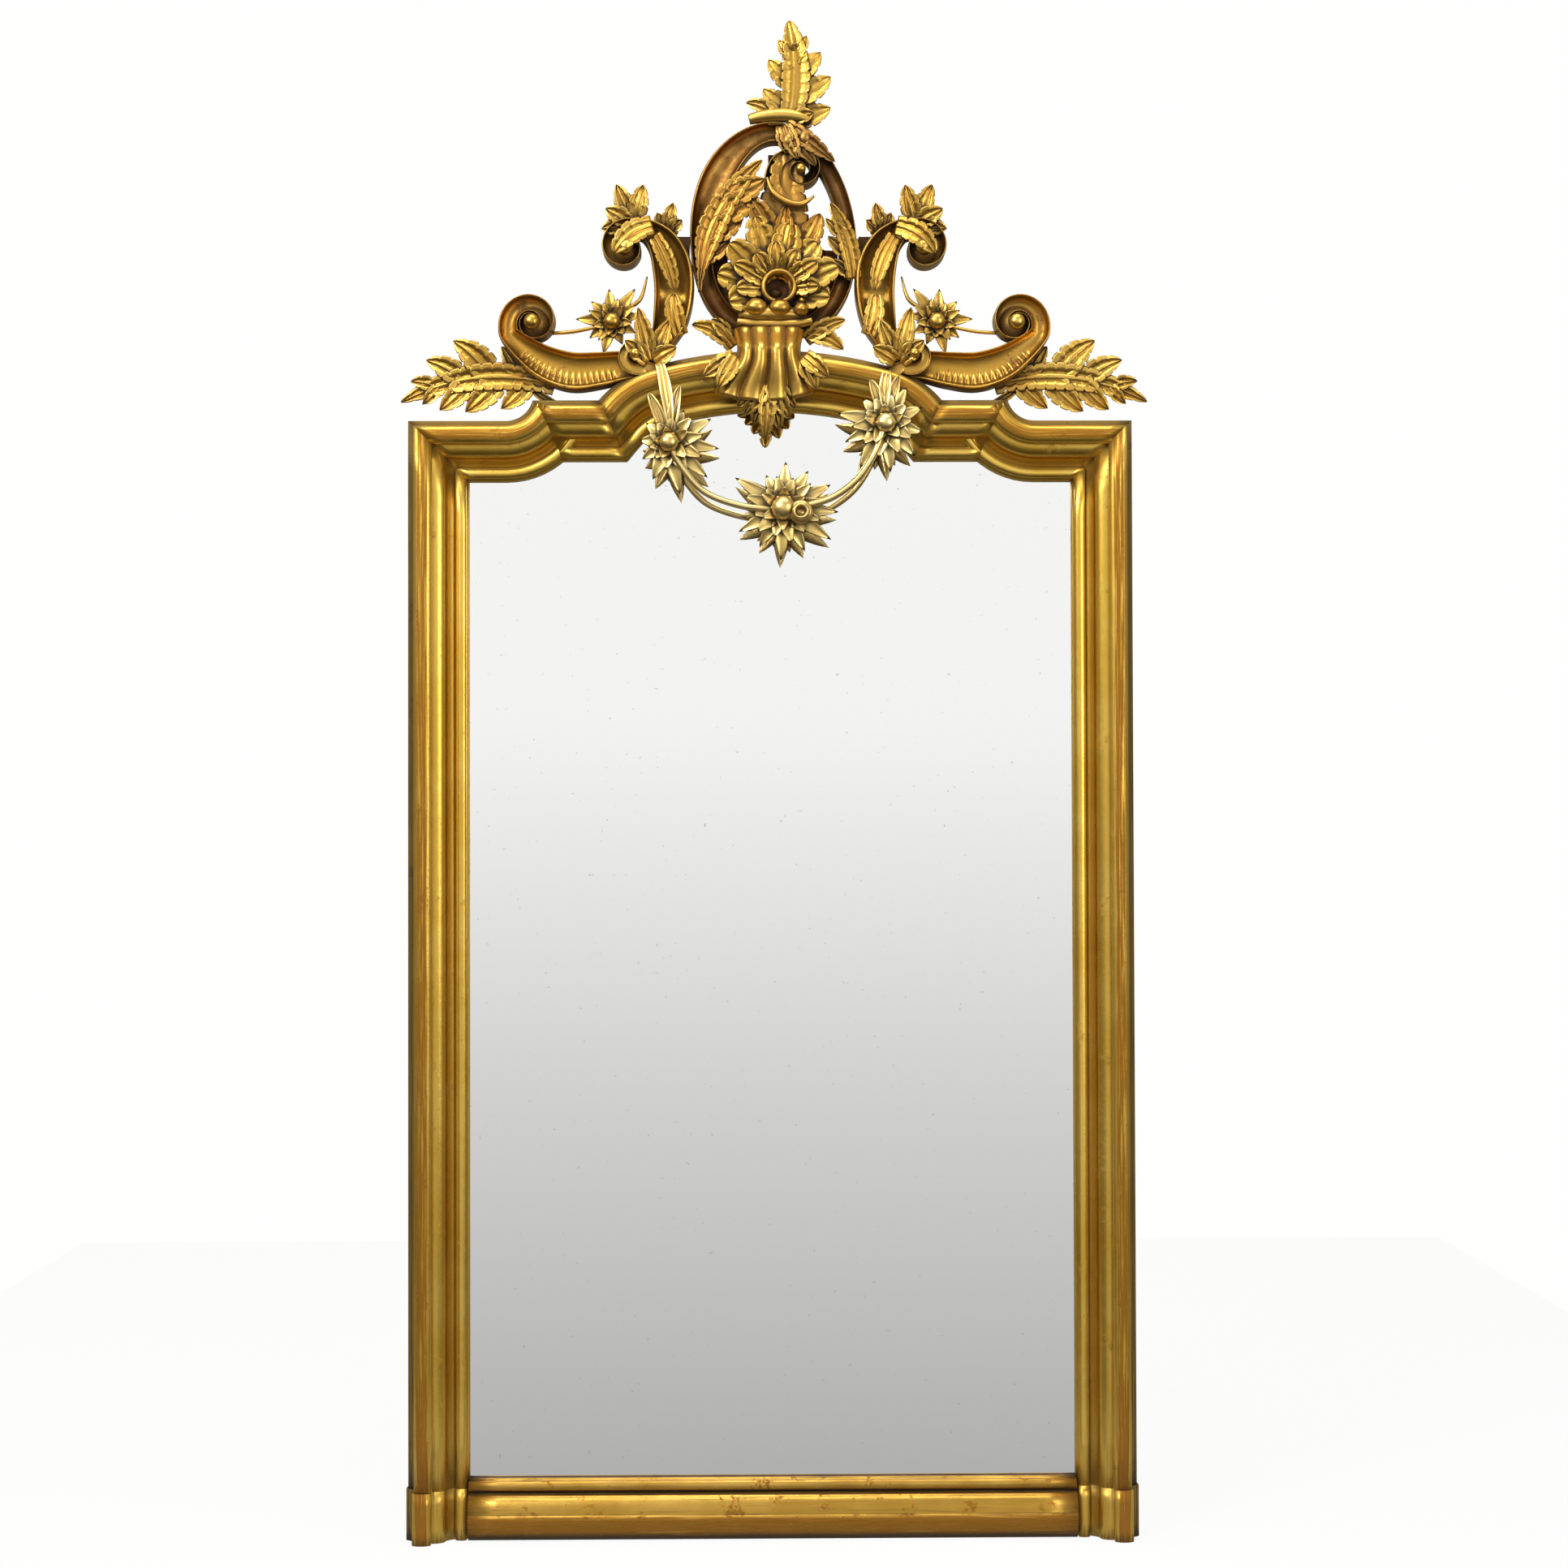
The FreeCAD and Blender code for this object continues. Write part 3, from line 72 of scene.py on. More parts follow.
def at(x: float, z: float, fore: float) -> Vector:
    """A point from its place across, up and off the wall."""
    return Vector((x, -fore, z))


def ease(low: float, high: float, value: float) -> float:
    """A smooth rise from 0 at low to 1 at high."""
    share = min(max((value - low) / (high - low), 0.0), 1.0)
    return share * share * (3 - 2 * share)


def bell(middle: float, width: float, value: float) -> float:
    """A smooth bump of height 1 about middle."""
    return math.exp(-((value - middle) / width) ** 2)


def along_arc(first: Pair, middle: Pair, last: Pair, count: int) -> list[Pair]:
    """Points on the arc through three points.

    Args:
        first: Where the arc starts.
        middle: A point on the way.
        last: Where it ends.
        count: How many steps to cut it in.

    Returns:
        The points after the first, up to and with the last.
    """
    (ax, ay), (bx, by), (cx, cy) = first, middle, last
    twist = 2 * (ax * (by - cy) + bx * (cy - ay) + cx * (ay - by))
    squares = [x * x + y * y for x, y in (first, middle, last)]
    ox = (squares[0] * (by - cy) + squares[1] * (cy - ay) + squares[2] * (ay - by)) / twist
    oy = (squares[0] * (cx - bx) + squares[1] * (ax - cx) + squares[2] * (bx - ax)) / twist
    start, mid, end = (math.atan2(y - oy, x - ox) for x, y in (first, middle, last))
    radius = math.hypot(ax - ox, ay - oy)
    sweep = (end - start) % (2 * math.pi)
    if (mid - start) % (2 * math.pi) > sweep:
        sweep -= 2 * math.pi
    angles = [start + sweep * step / count for step in range(1, count + 1)]
    return [(ox + radius * math.cos(a), oy + radius * math.sin(a)) for a in angles]


# ------------------------------------------------------------------------ shader wiring


class Wire:
    """An output socket; sums on it add Math nodes."""

    def __init__(self, graph: "Graph", socket: bpy.types.NodeSocket) -> None:
        """Keeps the socket and the graph it belongs to."""
        self.graph = graph
        self.socket = socket

    def __add__(self, other: "Wire | float") -> "Wire":
        """This plus other."""
        return self.graph.math("ADD", self, other)

    def __radd__(self, other: float) -> "Wire":
        """Other plus this."""
        return self.graph.math("ADD", other, self)

    def __sub__(self, other: "Wire | float") -> "Wire":
        """This less other."""
        return self.graph.math("SUBTRACT", self, other)

    def __rsub__(self, other: float) -> "Wire":
        """Other less this."""
        return self.graph.math("SUBTRACT", other, self)

    def __mul__(self, other: "Wire | float") -> "Wire":
        """This times other."""
        return self.graph.math("MULTIPLY", self, other)

    def __rmul__(self, other: float) -> "Wire":
        """Other times this."""
        return self.graph.math("MULTIPLY", other, self)

    def between(self, low: float, high: float) -> "Wire":
        """A smooth 0 to 1 as this goes from low to high."""
        return self.graph.wire(
            "ShaderNodeMapRange",
            {"interpolation_type": "SMOOTHSTEP", "clamp": True},
            {"Value": self, "From Min": low, "From Max": high},
            "Result",
        )


class Graph:
    """A node tree that is wired by expressions."""

    def __init__(self, tree: bpy.types.NodeTree) -> None:
        """Starts from an empty tree."""
        self.tree = tree
        tree.nodes.clear()

    def add(
        self,
        kind: str,
        settings: dict[str, Any] | None = None,
        sockets: dict[str | int, Any] | None = None,
    ) -> bpy.types.Node:
        """Adds a node.

        Args:
            kind: The node's type name.
            settings: Its properties, set first; stops holds a ramp's places and colours.
            sockets: Values or wires for its inputs, by name or number.

        Returns:
            The node.
        """
        node = self.tree.nodes.new(kind)
        for name, value in (settings or {}).items():
            if name != "stops":
                setattr(node, name, value)
                continue
            ramp = node.color_ramp
            while len(ramp.elements) < len(value):
                ramp.elements.new(0.5)
            for element, (place, colour) in zip(ramp.elements, value):
                element.position = place
                element.color = (*colour, 1.0)
        for key, value in (sockets or {}).items():
            if isinstance(value, Wire):
                self.tree.links.new(value.socket, node.inputs[key])
            elif isinstance(value, tuple) and node.inputs[key].type == "RGBA":
                node.inputs[key].default_value = (*value, 1.0)
            else:
                node.inputs[key].default_value = value
        return node

    def wire(
        self,
        kind: str,
        settings: dict[str, Any] | None = None,
        sockets: dict[str | int, Any] | None = None,
        output: str | int = 0,
    ) -> Wire:
        """Adds a node, as add does, and gives the output of that name or number."""
        return Wire(self, self.add(kind, settings, sockets).outputs[output])

    def math(self, operation: str, first: Wire | float, second: Wire | float) -> Wire:
        """A Math node on two values."""
        return self.wire("ShaderNodeMath", {"operation": operation}, {0: first, 1: second})

    def mix(self, share: Wire | float, low: Wire | Colour, high: Wire | Colour) -> Wire:
        """A colour between two colours."""
        return self.wire("ShaderNodeMix", {"data_type": "RGBA", "clamp_factor": True},
                         {0: share, 6: low, 7: high}, 2)

    def ramp(self, share: Wire, stops: Sequence[tuple[float, Colour]]) -> Wire:
        """A colour from a ramp with stops at the places given."""
        return self.wire("ShaderNodeValToRGB", {"stops": stops}, {0: share})

    def spot(self, source: str = "Object") -> Wire:
        """A Texture Coordinate output."""
        return self.wire("ShaderNodeTexCoord", output=source)

    def run_map(self) -> Wire:
        """A carving's run map: how far along its run, and where on its section."""
        return self.wire("ShaderNodeUVMap", {"uv_map": "run"})

    def scaled(self, where: Wire, scale: Triple) -> Wire:
        """The same place, stretched."""
        return self.wire("ShaderNodeMapping", None, {"Vector": where, "Scale": scale})

    def noise(self, where: Wire, scale: float, detail: float = 4.0, rough: float = 0.6) -> Wire:
        """Cloudy noise from 0 to 1, about 0.5."""
        return self.wire("ShaderNodeTexNoise", None, {
            "Vector": where, "Scale": scale, "Detail": detail, "Roughness": rough})

    def split(self, where: Wire) -> tuple[Wire, Wire, Wire]:
        """A vector's three parts."""
        node = self.add("ShaderNodeSeparateXYZ", None, {0: where})
        return tuple(Wire(self, node.outputs[index]) for index in range(3))

    def bump(self, height: Wire, strength: float, depth_mm: float) -> Wire:
        """A normal bent by a height."""
        return self.wire("ShaderNodeBump", None, {
            "Strength": strength, "Distance": depth_mm * MM, "Height": height})

    def recess(self, reach_mm: float) -> Wire:
        """1 deep in a hollow, 0 in the open."""
        return 1.0 - self.wire("ShaderNodeAmbientOcclusion", {"samples": 4},
                               {"Distance": reach_mm * MM}, "AO")

    def edge(self) -> Wire:
        """Above 0.5 on a ridge, under it in a groove."""
        return self.wire("ShaderNodeNewGeometry", output="Pointiness")

    def surface(self, **sockets: Any) -> None:
        """Ends a material's tree in a Principled shader."""
        shader = self.wire("ShaderNodeBsdfPrincipled", None,
                           {name.replace("_", " "): value for name, value in sockets.items()})
        self.add("ShaderNodeOutputMaterial", None, {0: shader})


class Finish:
    """A surface that can dress pieces; its material is made once."""

    name: str
    made: dict[str, bpy.types.Material] = {}

    def paint(self, graph: Graph) -> None:
        """Wires the material's tree."""
        raise NotImplementedError

    def material(self) -> bpy.types.Material:
        """The finish's material."""
        if self.name not in Finish.made:
            made = bpy.data.materials.new(self.name)
            made.use_nodes = True
            self.paint(Graph(made.node_tree))
            Finish.made[self.name] = made
        return Finish.made[self.name]


@dataclass(frozen=True)
class CarvedGilt(Finish):
    """Water gilding over bole, rubbed on the ridges; painted highlight on ridges, painted shade in grooves
    and hollows.

    leaf is the gold on ridges and open faces; the second gold, in grooves and in random patches, is painted
    shade with tone. wear is how much bole shows, the recess weight how much painted shade darkens the
    hollows, and dull is how much of the metal's shine goes where the bole shows.
    """

    name: str = "carved_gilt"
    leaf: Colour = (0.76, 0.49, 0.11)
    shade_and_tone_gold: Colour = (0.46, 0.245, 0.035)
    bole: Colour = (0.21, 0.075, 0.013)
    dirt: Colour = (0.055, 0.030, 0.010)
    wear: float = 0.35
    recess_shade: float = 1.0
    roughness: float = 0.27
    dull: float = 0.7

    def bands(self, graph: Graph, worn: Wire, dirt_and_shade: Wire) -> tuple[Wire, Wire]:
        """Wear, soiling and painted shade that follow a moulding's section; a carving has none."""
        return worn, dirt_and_shade

    def tint(self, graph: Graph, gold: Wire) -> Wire:
        """A change of the gold along a section, which on a scroll is painted shade in its hollow; a carving
        has none.
        """
        return gold

    def paint(self, graph: Graph) -> None:
        """Gold with painted highlight and shade, bole where it is worn, and soiling with painted shade, laid
        over each other.
        """
        where = graph.spot()
        cloud = graph.noise(where, 26.0, 6.0, 0.65)
        fleck = graph.noise(where, 210.0, 3.0, 0.7)
        tone = graph.noise(where, 9.0, 3.0)
        edge = graph.edge()
        ridge = edge.between(0.525, 0.60)
        worn = (cloud + fleck * 0.45).between(0.80, 0.93) * self.wear + ridge * (cloud * 1.2) * self.wear
        # Painted shade: occlusion darkens grooves and recesses, weighted per finish; the cloud term adds real
        # soiling in patches.
        dirt_and_shade = graph.recess(20.0).between(0.14, 0.62) * self.recess_shade + cloud.between(0.60, 0.80) * 0.25
        worn, dirt_and_shade = self.bands(graph, worn, dirt_and_shade)
        # Painted highlight and shade: ridges take the paler leaf gold and grooves the darker gold, varied by
        # tone.
        pale = edge.between(0.44, 0.54) * (1.0 - tone.between(0.36, 0.66) * 0.7)
        gold = self.tint(graph, graph.mix(pale, self.shade_and_tone_gold, self.leaf))
        colour = graph.mix(worn.between(0.0, 0.8), gold, self.bole)
        colour = graph.mix(dirt_and_shade.between(0.0, 1.1), colour, self.dirt)
        graph.surface(
            Base_Color=colour,
            Metallic=1.0 - worn * self.dull - dirt_and_shade * 0.5,
            Roughness=self.roughness + worn * 0.3 + dirt_and_shade * 0.25 + fleck * 0.10,
            Normal=graph.bump(fleck * 0.35 + cloud, 0.35, 1.0),
        )


@dataclass(frozen=True)
class RunGilt(CarvedGilt):
    """Gilding on a moulding: rubbed to the bole on its roll, with painted shade along its outer hollow and
    its quirks.

    roll is where on the section the roll lies, outer where the outer hollow ends, and lines
    where the quirks are, all as shares of the width. quirk is half a quirk's width.
    """

    name: str = "run_gilt"
    leaf: Colour = (0.84, 0.56, 0.115)
    shade_and_tone_gold: Colour = (0.68, 0.40, 0.045)
    bole: Colour = (0.33, 0.145, 0.012)
    dull: float = 0.25
    recess_shade: float = 0.45
    roll: Pair = (0.16, 0.40)
    outer: float = 0.15
    lines: tuple[float, ...] = (0.155, 0.412, 0.80, 0.985)
    quirk: float = 0.014

    def bands(self, graph: Graph, worn: Wire, dirt_and_shade: Wire) -> tuple[Wire, Wire]:
        """Wear on the roll, painted shade in the outer hollow and along the quirks, and more wear and darker
        streaks low down.
        """
        where = graph.run_map()
        _, share, _ = graph.split(where)
        drawn = graph.noise(graph.scaled(where, (9.0, 30.0, 1.0)), 1.0, 5.0)
        roll = share.between(self.roll[0], self.roll[0] + 0.06)
        roll = roll * (1.0 - share.between(self.roll[1] - 0.08, self.roll[1]))
        worn = worn + roll * (0.22 + drawn.between(0.32, 0.62) * 0.75)
        # Painted shade: the outer hollow is darkened, in streaks.
        hollow = 1.0 - share.between(self.outer - 0.03, self.outer)
        dirt_and_shade = dirt_and_shade + hollow * (0.45 + drawn * 0.6)
        _, _, height = graph.split(graph.spot())
        low = 1.0 - height.between(0.06, 0.40)
        worn = worn + low * (0.15 + roll) * drawn.between(0.38, 0.62) * 0.9
        dirt_and_shade = dirt_and_shade + low * low * drawn.between(0.45, 0.70) * 0.45
        # Painted shade: a thin dark line along each quirk.
        for line in self.lines:
            near = share.between(line - self.quirk, line)
            near = near * (1.0 - share.between(line, line + self.quirk))
            dirt_and_shade = dirt_and_shade + near * 0.3
        return worn, dirt_and_shade


@dataclass(frozen=True)
class ScrollGilt(CarvedGilt):
    """Gilding on a scroll: bright along its two rims, with the darker hollow colour between them as painted
    shade.
    """

    name: str = "scroll_gilt"
    hollow: Colour = (0.60, 0.31, 0.045)
    rim: Pair = (0.45, 0.68)

    def tint(self, graph: Graph, gold: Wire) -> Wire:
        """The hollow colour, in patches, between the rims: painted shade."""
        _, share, _ = graph.split(graph.run_map())
        inside = 1.0 - graph.math("ABSOLUTE", share, 0.0).between(*self.rim)
        drawn = graph.noise(graph.spot(), 60.0, 4.0)
        return graph.mix(inside * drawn.between(0.34, 0.60) * 0.65, gold, self.hollow)


@dataclass(frozen=True)
class OldPine(Finish):
    """Bare softwood gone brown behind a frame."""

    name: str = "old_pine"
    pale: Colour = (0.30, 0.17, 0.075)
    dark: Colour = (0.13, 0.066, 0.028)
    upright: bool = True

    def paint(self, graph: Graph) -> None:
        """Grain along the piece, with stains, and painted shade in its recesses."""
        along = (34.0, 34.0, 1.6) if self.upright else (1.6, 34.0, 34.0)
        where = graph.spot()
        grain = graph.noise(graph.scaled(where, along), 1.0, 6.0, 0.65)
        fibre = graph.noise(graph.scaled(where, tuple(8 * v for v in along)), 1.0, 3.0)
        stain = graph.noise(where, 5.0, 4.0)
        colour = graph.mix(grain.between(0.36, 0.62), self.pale, self.dark)
        # Painted shade: occlusion darkens the recesses, on top of the stains.
        colour = graph.mix(stain.between(0.48, 0.75) * 0.6 + graph.recess(25.0) * 0.5,
                           colour, tuple(0.35 * v for v in self.dark))
        graph.surface(Base_Color=colour, Roughness=0.72 + fibre * 0.2,
                      Normal=graph.bump(grain * 0.6 + fibre * 0.5, 0.5, 0.8))


@dataclass(frozen=True)
class BlackIron(Finish):
    """Wrought iron, blackened, with a little rust."""

    name: str = "black_iron"
    iron: Colour = (0.045, 0.040, 0.038)
    rust: Colour = (0.16, 0.055, 0.020)

    def paint(self, graph: Graph) -> None:
        """Dark metal with rust in patches."""
        where = graph.spot()
        scale = graph.noise(where, 180.0, 5.0, 0.7)
        rusty = graph.noise(where, 60.0, 4.0).between(0.52, 0.68)
        graph.surface(Base_Color=graph.mix(rusty, self.iron, self.rust),
                      Metallic=0.9 - rusty * 0.7, Roughness=0.42 + rusty * 0.35,
                      Normal=graph.bump(scale, 0.4, 0.4))


@dataclass(frozen=True)
class SilveredGlass(Finish):
    """Old mirror plate, a little foxed."""

    name: str = "silvered_glass"
    silver: Colour = (0.93, 0.935, 0.93)
    foxed: Colour = (0.35, 0.33, 0.30)

    def paint(self, graph: Graph) -> None:
        """A mirror with faint specks and patches that are less smooth."""
        where = graph.spot()
        specks = graph.noise(where, 150.0, 2.0).between(0.70, 0.78)
        veil = graph.noise(where, 3.0, 3.0).between(0.50, 0.75)
        graph.surface(Base_Color=graph.mix(specks * 0.5, self.silver, self.foxed),
                      Metallic=1.0, Roughness=0.015 + specks * 0.3 + veil * 0.012)


CARVED = CarvedGilt(recess_shade=1.3)
SCROLLED = ScrollGilt(wear=0.5, recess_shade=0.85)
# The loop's near-black hollow colour is painted shade in the channel between its rims.
RUBBED = ScrollGilt(name="rubbed_gilt", leaf=(0.56, 0.33, 0.08), shade_and_tone_gold=(0.24, 0.105, 0.022),
                    hollow=(0.15, 0.055, 0.012), wear=0.25, recess_shade=1.1, roughness=0.32)
DEEP = CarvedGilt(name="deep_gilt", leaf=(0.66, 0.38, 0.075), shade_and_tone_gold=(0.28, 0.12, 0.018), wear=0.3)
HANGING = CarvedGilt(name="hanging_gilt", leaf=(0.93, 0.73, 0.31), shade_and_tone_gold=(0.70, 0.47, 0.13),
                     wear=0.2, recess_shade=0.85)
# A near-black gilding for places that shade makes dark: painted shade.
SHADED = CarvedGilt(name="shaded_gilt", leaf=(0.15, 0.055, 0.018), shade_and_tone_gold=(0.07, 0.026, 0.010),
                    wear=1.0, recess_shade=1.3, roughness=0.45)
MOULDED = RunGilt()
FOOT = RunGilt(name="foot_gilt", leaf=(0.64, 0.39, 0.08), shade_and_tone_gold=(0.42, 0.23, 0.03), recess_shade=1.1,
               wear=0.8, roll=(0.04, 0.42), outer=0.03, lines=(0.43, 0.80, 0.985))
PINE = OldPine()
PINE_ACROSS = OldPine(name="old_pine_across", upright=False)
BOARDS = OldPine(name="rough_boards", pale=(0.25, 0.14, 0.065), dark=(0.10, 0.052, 0.024))
IRON = BlackIron()
GLASS = SilveredGlass()


# ------------------------------------------------------------------------ carving tools


@dataclass(frozen=True)
class Lobe:
    """One pointed lobe of a carved leaf, hollowed each side of its ribs.

    Its places are (across, up, fore) in the sub-assembly that carries it. bend moves its middle
    to the left of the way that it grows, and swell moves it off the wall. foot is its width at
    the root as a share, and point how its tip closes: high is sharp, low is round. cup is how far
    its margins stand in front of its middle, and rib how high its ribs are.
    """

    root: Triple
    tip: Triple
    half: float
    bend: float = 0.0
    swell: float = 8.0
    foot: float = 0.75
    point: float = 0.6
    cup: float = 3.0
    rib: float = 1.5

    @property
    def length(self) -> float:
        """From root to tip, in the front view."""
        return math.hypot(self.tip[0] - self.root[0], self.tip[1] - self.root[1])

    @property
    def bow(self) -> Triple:
        """The place that its spine bends towards."""
        run, rise = self.tip[0] - self.root[0], self.tip[1] - self.root[1]
        return ((self.root[0] + self.tip[0]) / 2 - rise / self.length * self.bend,
                (self.root[1] + self.tip[1]) / 2 + run / self.length * self.bend,
                (self.root[2] + self.tip[2]) / 2 + self.swell)

    @property
    def nicks(self) -> int:
        """How many nicks each margin of a broad lobe has."""
        return max(2, round(self.length / 14)) if self.half > 10 else 0

    def spine(self, share: float) -> tuple[Triple, float]:
        """The spine's place at a share of its length, and its bearing in radians."""
        knots = list(zip(self.root, self.bow, self.tip))
        rest = 1 - share
        place = tuple(rest * rest * a + 2 * share * rest * b + share * share * c for a, b, c in knots)
        run, rise, _ = (rest * (b - a) + share * (c - b) for a, b, c in knots)
        return place, math.atan2(rise, run)

    def width(self, share: float) -> float:
        """The half width at a share of the length."""
        width = self.half * (self.foot + (1 - self.foot) * ease(0.0, 0.45, share))
        width *= max(1 - share ** 2.6, 0.0) ** self.point
        nick = ease(0.62, 1.0, (share * self.nicks) % 1.0) * ease(1.0, 0.9, share)
        return width * (1 - 0.32 * nick)

    def lift(self, side: float, share: float) -> float:
        """How far a place on the lobe stands in front of its spine."""
        reach = abs(side)
        lift = self.cup * reach ** 2 * math.sin(math.pi * min(share * 0.9 + 0.05, 1.0))
        lift += self.rib * (bell(0.0, 0.13, side) + 0.7 * bell(0.62, 0.14, reach))
        return lift - self.rib * bell(0.33, 0.14, reach)

    def parts(self) -> list["Lobe"]:
        """The lobes that it is made of."""
        return [self]


@dataclass(frozen=True)
class Frond(Lobe):
    """An acanthus leaf: a main lobe with lapped lobes down its two sides.

    left and right hold the side lobes' lengths from the root on. They are rooted between two
    shares of the spine, and lean from it by the first of lean's angles at the root and by the
    second near the tip. fat is a side lobe's half width as a share of its length.
    """

    left: tuple[float, ...] = ()
    right: tuple[float, ...] = ()
    left_span: Pair = (0.2, 0.75)
    right_span: Pair = (0.2, 0.75)
    lean: Pair = (52.0, 22.0)
    fat: float = 0.31

    def parts(self) -> list[Lobe]:
        """The side lobes from the root on, and the main one over them."""
        parts: list[Lobe] = []
        for hand, lengths, span in ((1, self.left, self.left_span), (-1, self.right, self.right_span)):
            for index, length in enumerate(lengths):
                step = index / max(len(lengths) - 1, 1)
                root, bearing = self.spine(span[0] + (span[1] - span[0]) * step)
                bearing += hand * math.radians(self.lean[0] + (self.lean[1] - self.lean[0]) * step)
                tip = (root[0] + length * math.cos(bearing), root[1] + length * math.sin(bearing),
                       root[2] - 2.0)
                root = (root[0], root[1], root[2] - 4.0 + step * 2.0)
                parts.append(Lobe(root, tip, length * self.fat, bend=hand * length * 0.12,
                                  swell=5.0, foot=0.85, point=0.8, rib=self.rib))
        return [*parts, Lobe(self.root, self.tip, self.half, self.bend, self.swell, self.foot,
                             self.point, self.cup, self.rib)]


@dataclass(frozen=True)
class Fan:
    """Lobes that spread from one middle, from a first bearing to a last, in degrees.

    start is how far from the middle they are rooted, rise how far their tips stand in front of
    their roots, and half, swell and point are each lobe's own.
    """

    middle: Triple
    bearings: Pair
    lengths: tuple[float, ...]
    half: float
    start: float = 4.0
    rise: float = 6.0
    swell: float = 7.0
    point: float = 0.7

    def parts(self) -> list[Lobe]:
        """The fan's lobes; every other one stands a little in front."""
        first, last = self.bearings
        x, up, fore = self.middle
        parts = []
        for index, length in enumerate(self.lengths):
            angle = math.radians(first + (last - first) * index / max(len(self.lengths) - 1, 1))
            across, along = math.cos(angle), math.sin(angle)
            stand = fore + 2.0 * (index % 2)
            parts.append(Lobe((x + self.start * across, up + self.start * along, stand),
                              (x + length * across, up + length * along, stand + self.rise),
                              self.half, swell=self.swell, point=self.point))
        return parts


@dataclass(frozen=True)
class Knot:
    """A point on a scroll's middle line: its place, half width and how far its rim stands off."""

    x: float
    z: float
    half: float
    fore: float

    def blended(self, others: Sequence["Knot"], weights: Sequence[float]) -> "Knot":
        """A weighted sum of knots."""
        parts = [sum(w * getattr(k, name) for k, w in zip(others, weights))
                 for name in ("x", "z", "half", "fore")]
        return Knot(*parts)


def smooth_line(knots: Sequence[Knot], cuts: int) -> list[Knot]:
    """A smooth line through knots.

    Args:
        knots: The points to pass through.
        cuts: Steps between two of them.

    Returns:
        The finer line, from the first knot to the last.
    """
    line = []
    last = len(knots) - 1
    for index in range(last):
        four = [knots[min(max(index + step, 0), last)] for step in (-1, 0, 1, 2)]
        for cut in range(cuts):
            t = cut / cuts
            weights = (
                (-t + 2 * t * t - t ** 3) / 2,
                (2 - 5 * t * t + 3 * t ** 3) / 2,
                (t + 4 * t * t - 3 * t ** 3) / 2,
                (-t * t + t ** 3) / 2,
            )
            line.append(knots[0].blended(four, weights))
    return line + [knots[last]]


def winding(middle: Pair, start: Knot, turn: float, shrink: float, rise: float) -> list[Knot]:
    """The turned-in end of a scroll.

    Args:
        middle: The volute's middle.
        start: The last knot of the scroll's own line.
        turn: How far it winds, in degrees, counter-clockwise where positive.
        shrink: Its half width at the end, as a share of the start's.
        rise: How far its end stands in front of its start.

    Returns:
        Knots after the start.
    """
    dx, dz = start.x - middle[0], start.z - middle[1]
    radius, angle = math.hypot(dx, dz), math.atan2(dz, dx)
    count = max(6, int(abs(turn) / 18))
    knots = []
    for step in range(1, count + 1):
        share = step / count
        half = start.half * (1 - (1 - shrink) * share)
        reach = radius * (1 - share) + half * 0.75 * share
        reach -= radius * 0.12 * math.sin(math.pi * share)
        bearing = angle + math.radians(turn) * share
        knots.append(Knot(middle[0] + reach * math.cos(bearing), middle[1] + reach * math.sin(bearing),
                          half, start.fore + rise * share))
    return knots


@dataclass(frozen=True)
class BandSection:
    """A scroll's section: a roll along its outer edge, a hollow, and a thinner inner edge.

    depth is how far the hollow goes in, and roll and edge are how wide the two rims are, as
    shares. ribs is the height of the gadroons on the hollow's outer slope in millimetres, pitch
    their spacing, and ribbed where along the band they lie. turn is 1 where the outer edge is
    on the left of the way that the band runs, and -1 where it is on the right.
    """

    depth: float = 0.42
    roll: float = 0.26
    edge: float = 0.16
    ribs: float = 0.0
    pitch: float = 9.0
    ribbed: Pair = (0.0, 1.0)
    turn: int = 1

    def rim(self, width: float) -> list[Pair]:
        """A rim from its back, over its front, to its foot in the hollow."""
        points = [(1.0 - width * 0.35, 0.0), (1.0, 0.12), (1.0, 0.70)]
        for step in range(1, 9):
            angle = math.pi * step / 9
            points.append((1.0 - width / 2 * (1 - math.cos(angle)), 0.74 + 0.26 * math.sin(angle)))
        return points + [(1.0 - width, 0.70)]

    def outline(self) -> list[Pair]:
        """Across and height shares, from the outer back edge over the front to the inner one."""
        floor = 1 - self.depth
        outer, inner = self.rim(self.roll), self.rim(self.edge)
        start, end = 0.98 - self.roll, -0.98 + self.edge
        hollow = []
        for step in range(1, 12):
            share = step / 12
            dip = 1 - abs(2 * share - 1) ** 2.2
            hollow.append((start + (end - start) * share, 0.68 - (0.68 - floor) * dip))
        whole = outer + hollow + [(-across, height) for across, height in reversed(inner)]
        return [(across * self.turn, height) for across, height in whole]


